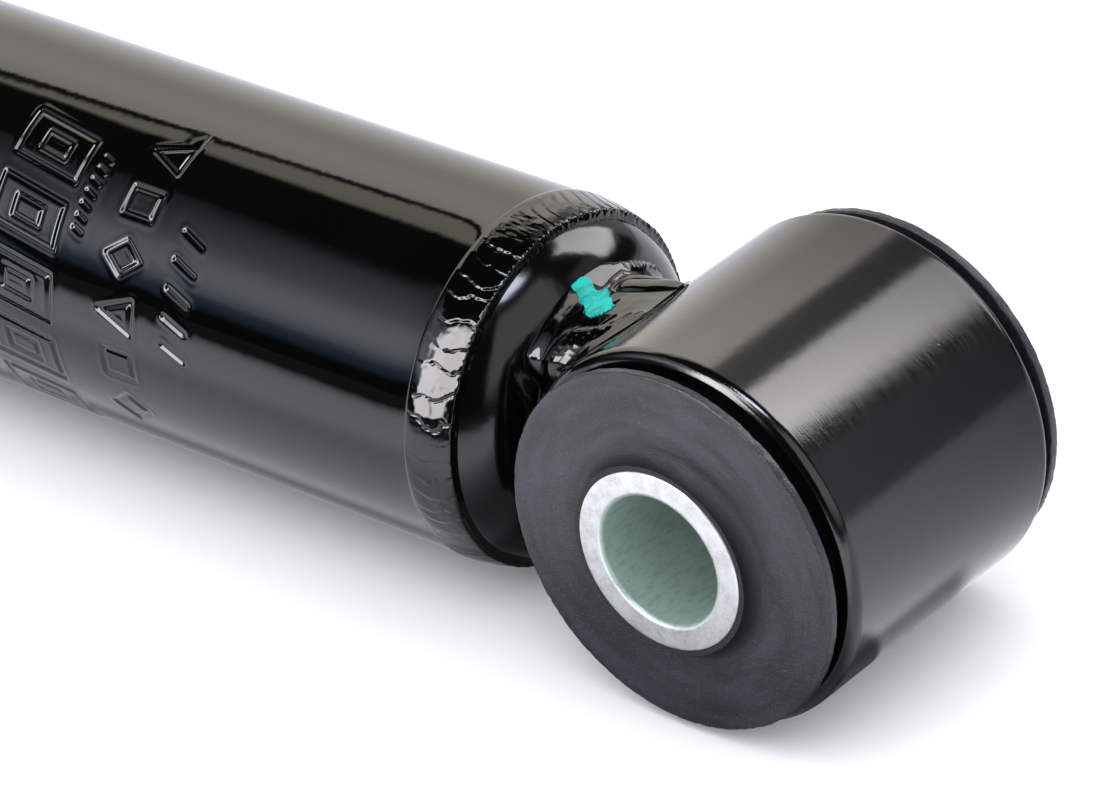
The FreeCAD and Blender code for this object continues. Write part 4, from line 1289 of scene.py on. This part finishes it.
def zinc_finish(name, place):
    finish, tree, shader = new_finish(name)
    spot = object_place(tree)
    radius = use_group(tree, bush_radius, Place=spot, Middle=place * MM)["Radius"]
    in_bore = link_range(tree, radius, (BORE_LOOK - BORE_EDGE) * MM, (BORE_LOOK + BORE_EDGE) * MM, 1, 0)
    fine = link_noise(tree, spot, 3000, 4)
    lines = use_group(tree, scratches, Place=spot, Scale=420.0)["Lines"]
    patchy = link_range(tree, link_noise(tree, spot, 420, 4), 0.35, 0.7)
    face = link_blend(tree, patchy, ZINC_PALE, ZINC_DULL)
    face = link_blend(tree, link_range(tree, fine, 0.35, 0.65, 0, 0.4), face, ZINC_SPARK)
    face = link_blend(tree, link_math(tree, "MULTIPLY", lines, 0.3), face, ZINC_SCRATCH)
    spots = link_noise(tree, link_vector(tree, "MULTIPLY", spot, BORE_GRAIN), 1, 4)
    bore = link_blend(tree, link_range(tree, spots, 0.4, 0.75), BORE_PALE, BORE_DARK)
    pits = link_range(tree, link_noise(tree, spot, 2600, 3), 0.66, 0.74, 0, 0.6)
    bore = link_blend(tree, pits, bore, BORE_PIT)
    rough = link_range(tree, fine, *MIDDLE_RANGE, 0.3, 0.4)
    fill(tree, shader, Base_Color=link_blend(tree, in_bore, face, bore),
         Metallic=link_math(tree, "MULTIPLY_ADD", in_bore, -BORE_METALLIC_LOSS, 1),
         Roughness=link_math(tree, "MULTIPLY_ADD", in_bore, BORE_ROUGHER, rough))
    bump(tree, shader, link_math(tree, "MULTIPLY_ADD", lines, -SCRATCH_DEPTH, fine))
    return finish


zinc = zinc_finish("zinc_lower", 0.0)
upper_zinc = zinc_finish("zinc_upper", upper_eye_place)
print("zinc:", zinc.name, upper_zinc.name)

# %% Teal paint of the dab
TEAL_DEEP = (0.002, 0.22, 0.19)
TEAL_BRIGHT = (0.008, 0.39, 0.34)
TEAL_PALE = (0.1, 0.4, 0.375)
TEAL_BRUSH = (900, 300, 900)
TEAL_SHINE = 0.25
TEAL_BUMP = 0.00006


def teal_finish():
    finish, tree, shader = new_finish("teal_paint")
    spot = object_place(tree)
    brush = link_noise(tree, link_vector(tree, "MULTIPLY", spot, TEAL_BRUSH), 1, 4)
    tone = link_blend(tree, link_range(tree, brush, 0.35, 0.65), TEAL_DEEP, TEAL_BRIGHT)
    flecks = link_range(tree, link_noise(tree, spot, 900, 3), 0.58, 0.72, 0, 0.6)
    fill(tree, shader, Base_Color=link_blend(tree, flecks, tone, TEAL_PALE), Specular_IOR_Level=TEAL_SHINE,
         Roughness=link_range(tree, brush, *MIDDLE_RANGE, 0.45, 0.6))
    bump(tree, shader, brush, TEAL_BUMP)
    return finish


teal = teal_finish()
print("paint:", teal.name)

# %% [markdown]
# The pieces inside are metals, rubbers and a plastic. They differ in colour, in how metallic and rough
# they are and in the way their lathe lines run, so one function makes them all.

# %% Finishes of the other slots
ROD_LINES = (9000, 500, 500)
ALONG_X_LINES = (4500, 400, 400)
EVEN_GRAIN = (1800, 1800, 1800)
# dark and light colour, how metallic, least and most roughness, stretch of the lines, their depth
PLAIN_LOOKS = {
    "rod_chrome": ((0.52, 0.53, 0.55), (0.6, 0.61, 0.63), 1, (0.06, 0.1), ROD_LINES, 0.0000006),
    "seal_rubber": ((0.018, 0.018, 0.018), (0.034, 0.034, 0.035), 0, (0.4, 0.55), EVEN_GRAIN, 0.000006),
    "plain_steel": ((0.36, 0.36, 0.37), (0.5, 0.5, 0.5), 1, (0.24, 0.36), ALONG_X_LINES, 0.000003),
    "sintered_iron": ((0.14, 0.135, 0.13), (0.24, 0.23, 0.22), 1, (0.45, 0.6), EVEN_GRAIN, 0.00001),
    "bush_bronze": ((0.42, 0.27, 0.1), (0.58, 0.4, 0.17), 1, (0.25, 0.35), ALONG_X_LINES, 0.000003),
    "band_plastic": ((0.16, 0.12, 0.085), (0.22, 0.17, 0.12), 0, (0.4, 0.5), EVEN_GRAIN, 0.000004),
}


def plain_finish(name, dark, light, metallic, rough, stretch, depth):
    finish, tree, shader = new_finish(name)
    lines = use_group(tree, lathe_lines, Place=object_place(tree), Stretch=stretch)
    tone = link_blend(tree, link_range(tree, lines["Streaks"], *MIDDLE_RANGE), dark, light)
    fill(tree, shader, Base_Color=tone, Metallic=metallic,
         Roughness=link_range(tree, lines["Streaks"], *MIDDLE_RANGE, *rough))
    bump(tree, shader, lines["Height"], depth)
    return finish


slot_finishes = {"black_paint": tube_enamel, "bush_rubber": rubber_finish, "zinc_sleeve": zinc}
for name, look in PLAIN_LOOKS.items():
    slot_finishes[name] = plain_finish(name, *look)

# %% Give every piece its finish


def paint(piece, finish):
    piece.data.materials.clear()
    piece.data.materials.append(finish)


for row in frame["record"]["subparts"]:
    paint(frame["nodes"][row["node"]], slot_finishes[row["material_slot"]])
chrome = slot_finishes["rod_chrome"]
steel = slot_finishes["plain_steel"]
for piece, finish in ((tube, tube_enamel), (cap, cap_enamel), (bead, weld_enamel),
                      (lower_weld, weld_enamel), (upper_weld, weld_enamel), (weld_dab, teal),
                      (lower_ring, lower_ring_enamel), (upper_ring, upper_ring_enamel),
                      (lower_rubber, rubber_finish), (upper_rubber, upper_rubber_finish),
                      (lower_sleeve, zinc), (upper_sleeve, upper_zinc), (rod, chrome),
                      (intake_dish, steel), (check_dish, steel)):
    paint(piece, finish)
print("finishes:", len(bpy.data.materials))

# %% [markdown]
# The part lies on a white table. The camera sees a plain pale floor with a soft shadow. Gloss paint,
# though, shows the whole room: the table up to its edge, and the panels round it. So the floor answers
# mirror rays with painted light, a glowing table top that is brighter in front and ends in the dark, and
# with painted shadow under the part and beside the lower bush.

# %% Floor, with places in metres
FLOOR_SIZE = 8.0
FLOOR_GLOW = 0.05
FLOOR_COLOUR = 0.86
TABLE_BLUE = 1.09
# painted shadow: for mirror rays the table is dim under the part
PART_SIDE = 0.008
PART_END = -0.015
DIM_EDGE = (0.0065, 0.0115)
TABLE_NEAR = 0.4
TABLE_LEVEL = 1.18
# painted light: for mirror rays it is brighter in front, as far as its edge
FRONT_EDGE = (0.045, 0.07)
TABLE_FRONT = 0.7
TABLE_END = (0.11, 0.24)
TABLE_PAST_END = 0.04
# and painted shadow beside the near end of the lower bush
BUSH_MIDDLE = 0.004
BUSH_ENDS = (0.026, 0.045)
BUSH_FRONT = (0.026, 0.062)
BUSH_SHADE = 0.8
bpy.ops.object.select_all(action="DESELECT")
bpy.ops.mesh.primitive_plane_add(size=FLOOR_SIZE)
floor = start_piece("floor")
floor.location.z = cad_low.z
floor_finish, floor_tree, floor_shader = new_finish("floor")
floor_rays = floor_tree.nodes.new("ShaderNodeLightPath").outputs
floor_place = link_parts(floor_tree, object_place(floor_tree))


def floor_math(operation, *values):
    return link_math(floor_tree, operation, *values)


def floor_range(*values):
    return link_range(floor_tree, *values)


side = floor_place["Y"]
past_side = floor_math("SUBTRACT", floor_math("ABSOLUTE", side), PART_SIDE)
past_end = floor_math("SUBTRACT", PART_END, floor_place["X"])
off_part = floor_math("MAXIMUM", past_side, past_end)
# painted light and shadow: the table's glow for mirror rays, dim under the part and brighter in front
level = floor_math("ADD", floor_range(off_part, *DIM_EDGE, TABLE_NEAR, TABLE_LEVEL),
                   floor_range(side, *FRONT_EDGE, 0, TABLE_FRONT))
level = floor_math("MULTIPLY", level, floor_range(side, *TABLE_END, 1.0, TABLE_PAST_END))
# painted shadow beside the near end of the lower bush
off_bush = floor_math("ABSOLUTE", floor_math("SUBTRACT", floor_place["X"], BUSH_MIDDLE))
bush_painted_shadow = floor_math("MULTIPLY", floor_range(off_bush, *BUSH_ENDS, BUSH_SHADE, 0.0),
                     floor_range(side, *BUSH_FRONT, 1.0, 0.0))
bush_painted_shadow = floor_math("MULTIPLY", bush_painted_shadow, floor_math("GREATER_THAN", side, 0.0))
level = floor_math("MULTIPLY", level, floor_math("SUBTRACT", 1.0, bush_painted_shadow))
mirror_glow = floor_math("MULTIPLY", level, floor_rays["Is Glossy Ray"])
camera_glow = floor_math("MULTIPLY", floor_rays["Is Camera Ray"], FLOOR_GLOW)
glow_level = floor_math("ADD", mirror_glow, camera_glow)
glow = floor_tree.nodes.new("ShaderNodeCombineColor")
fill(floor_tree, glow.inputs, Red=glow_level, Green=glow_level,
     Blue=floor_math("MULTIPLY", glow_level, TABLE_BLUE))
matte_level = floor_math("MULTIPLY_ADD", floor_rays["Is Glossy Ray"], -FLOOR_COLOUR, FLOOR_COLOUR)
fill(floor_tree, floor_shader, Base_Color=matte_level, Roughness=1, Specular_IOR_Level=0,
     Emission_Color=glow.outputs[0], Emission_Strength=1)
paint(floor, floor_finish)
print("floor with", len(floor_tree.nodes), "nodes")

# %% [markdown]
# The room round the table is a world with soft panels. Mirror rays see the panels, the camera sees plain
# white, and all other rays see an even dome, so that the shadow on the floor stays soft.

# %% Helpers for the room
world = bpy.data.worlds.new("studio")
world.use_nodes = True
bpy.context.scene.world = world
sky = world.node_tree
heading = sky.nodes.new("ShaderNodeTexCoord").outputs["Generated"]
height = link_math(sky, "ARCSINE", link_parts(sky, heading)["Z"])
height = link_math(sky, "MULTIPLY", height, math.degrees(1))


def along_heading(degrees):
    """How far a ray goes towards a heading."""
    towards = (math.cos(math.radians(degrees)), math.sin(math.radians(degrees)), 0)
    return link_vector(sky, "DOT_PRODUCT", heading, towards, "Value")


def turn_from(degrees):
    """Turn of a ray from a heading, in degrees."""
    turn = link_math(sky, "ARCTAN2", along_heading(degrees + 90), along_heading(degrees))
    return link_math(sky, "MULTIPLY", turn, math.degrees(1))


def softbox(headings, heights, side_edge, low_edge, high_edge):
    """Share of light from a panel between two headings and two heights, with soft edges, in degrees."""
    turn = link_math(sky, "ABSOLUTE", turn_from(sum(headings) / 2))
    half = (headings[1] - headings[0]) / 2
    beside = link_range(sky, turn, half - side_edge / 2, half + side_edge / 2, 1.0, 0.0)
    above = link_range(sky, height, heights[1] - high_edge / 2, heights[1] + high_edge / 2, 1.0, 0.0)
    below = link_range(sky, height, heights[0] - low_edge / 2, heights[0] + low_edge / 2, 0.0, 1.0)
    return link_math(sky, "MULTIPLY", link_math(sky, "MULTIPLY", beside, above), below)


# %% Panels of the room
SKY_DARK = 0.008
SKY_SOFT = (1.6, 1.61, 1.7)
SKY_SEEN = (1.0, 1.0, 1.0)
KEY_HEADING = -105
LEFT_HEADING = 45
LEFT_LAMP = (12.5, 12.0, 12.3)
# headings, heights, soft edges beside, below and above, colour, and fades: a value with the range in
# which it changes the panel's light from one level to another
PANELS = {
    "far wall": ((-64, -2), (-60, 43.3), (4, 2, 1.2), (1.03, 0.97, 0.885), [(height, 18, 41, 1.25, 2.2)]),
    "far strip": ((-60, -17), (45.4, 51.6), (5, 1.2, 1.6), (1.45, 1.4, 1.15), []),
    "key": ((-122.5, -89), (16, 54), (3, 6, 4), (6.0, 5.85, 5.95),
            [(turn_from(KEY_HEADING), -18, 16, 1.25, 0.9)]),
    "beside the key": ((-92, -60), (0, 55), (8, 6, 6), (0.5, 0.5, 0.48), []),
    "left wall": ((20, 72), (15.5, 47.7), (4, 13, 5), (0.96, 1.0, 1.13),
                  [(turn_from(LEFT_HEADING), -22, 7, 0.4, 2.0), (height, 26, 37, 1.0, 0.58)]),
    "left skirting": ((30, 72), (7, 17), (8, 5, 7), (0.18, 0.3, 0.45), []),
    "left lamp": ((61, 85), (17, 50), (5, 5, 5), LEFT_LAMP, []),
    "left lamp's foot": ((61, 75), (-9, 17), (5, 5, 5), LEFT_LAMP, []),
    "front lamp": ((72, 105), (51, 68), (6, 4, 4), (8, 8, 8.3), []),
    "right wall": ((134.5, 205), (8, 58), (6, 20, 8), (1.15, 1.15, 1.17), []),
    "right corner": ((-146, -127), (-8, 30), (6, 6, 6), (0.42, 0.43, 0.46), []),
    "top lamp": ((100, 197), (70, 92), (16, 4, 2), (14, 15, 18), []),
}
room = (SKY_DARK, SKY_DARK, SKY_DARK)
for headings, heights, edges, colour, fades in PANELS.values():
    share = softbox(headings, heights, *edges)
    for fade in fades:
        share = link_math(sky, "MULTIPLY", share, link_range(sky, *fade))
    room = link_blend(sky, share, room, colour, "ADD")
sky_rays = sky.nodes.new("ShaderNodeLightPath").outputs
seen = link_blend(sky, sky_rays["Is Glossy Ray"], SKY_SOFT, room)
seen = link_blend(sky, sky_rays["Is Camera Ray"], seen, SKY_SEEN)
sky.links.new(seen, sky.nodes["Background"].inputs["Color"])
print("room:", ", ".join(PANELS))

# %% Soft lamp from the front and above
FILL_HEADING = 105
FILL_HEIGHT = 58
FILL_DISTANCE = 1.4
FILL_SIZE = 0.9
FILL_POWER = 4.0


def direction(heading_degrees, height_degrees):
    turn = math.radians(heading_degrees)
    rise = math.radians(height_degrees)
    return Vector((math.cos(turn) * math.cos(rise), math.sin(turn) * math.cos(rise), math.sin(rise)))


fill_data = bpy.data.lights.new("fill_softbox", "AREA")
fill_data.size = FILL_SIZE
fill_data.energy = FILL_POWER
fill_lamp = bpy.data.objects.new("fill_softbox", fill_data)
bpy.context.scene.collection.objects.link(fill_lamp)
fill_lamp.location = direction(FILL_HEADING, FILL_HEIGHT) * FILL_DISTANCE
fill_lamp.rotation_euler = (-fill_lamp.location).to_track_quat("-Z", "Y").to_euler()
fill_lamp.visible_glossy = False
print("lamp at", tuple(fill_lamp.location))

# %% [markdown]
# The camera stands where the photograph was taken from. Its three directions are those of the picture:
# to the right, down, and away from the viewer.

# %% Camera
CAMERA_PLACE = (-0.34808, 0.43033, 0.34420)
CAMERA_RIGHT = Vector((-0.77387, -0.62892, -0.07470))
CAMERA_DOWN = Vector((-0.27610, 0.44116, -0.85390))
CAMERA_AWAY = Vector((0.56999, -0.64019, -0.51504))
CAMERA_LENS = 187.4
CAMERA_SENSOR = 36
camera_data = bpy.data.cameras.new("camera")
camera_data.lens = CAMERA_LENS
camera_data.sensor_width = CAMERA_SENSOR
camera = bpy.data.objects.new("camera", camera_data)
bpy.context.scene.collection.objects.link(camera)
camera_turn = Matrix((CAMERA_RIGHT, -CAMERA_DOWN, -CAMERA_AWAY)).transposed().to_4x4()
camera.matrix_world = Matrix.Translation(CAMERA_PLACE) @ camera_turn
bpy.context.scene.camera = camera
bpy.context.scene.view_settings.view_transform = "Standard"
print("camera with a lens of", CAMERA_LENS, "mm")
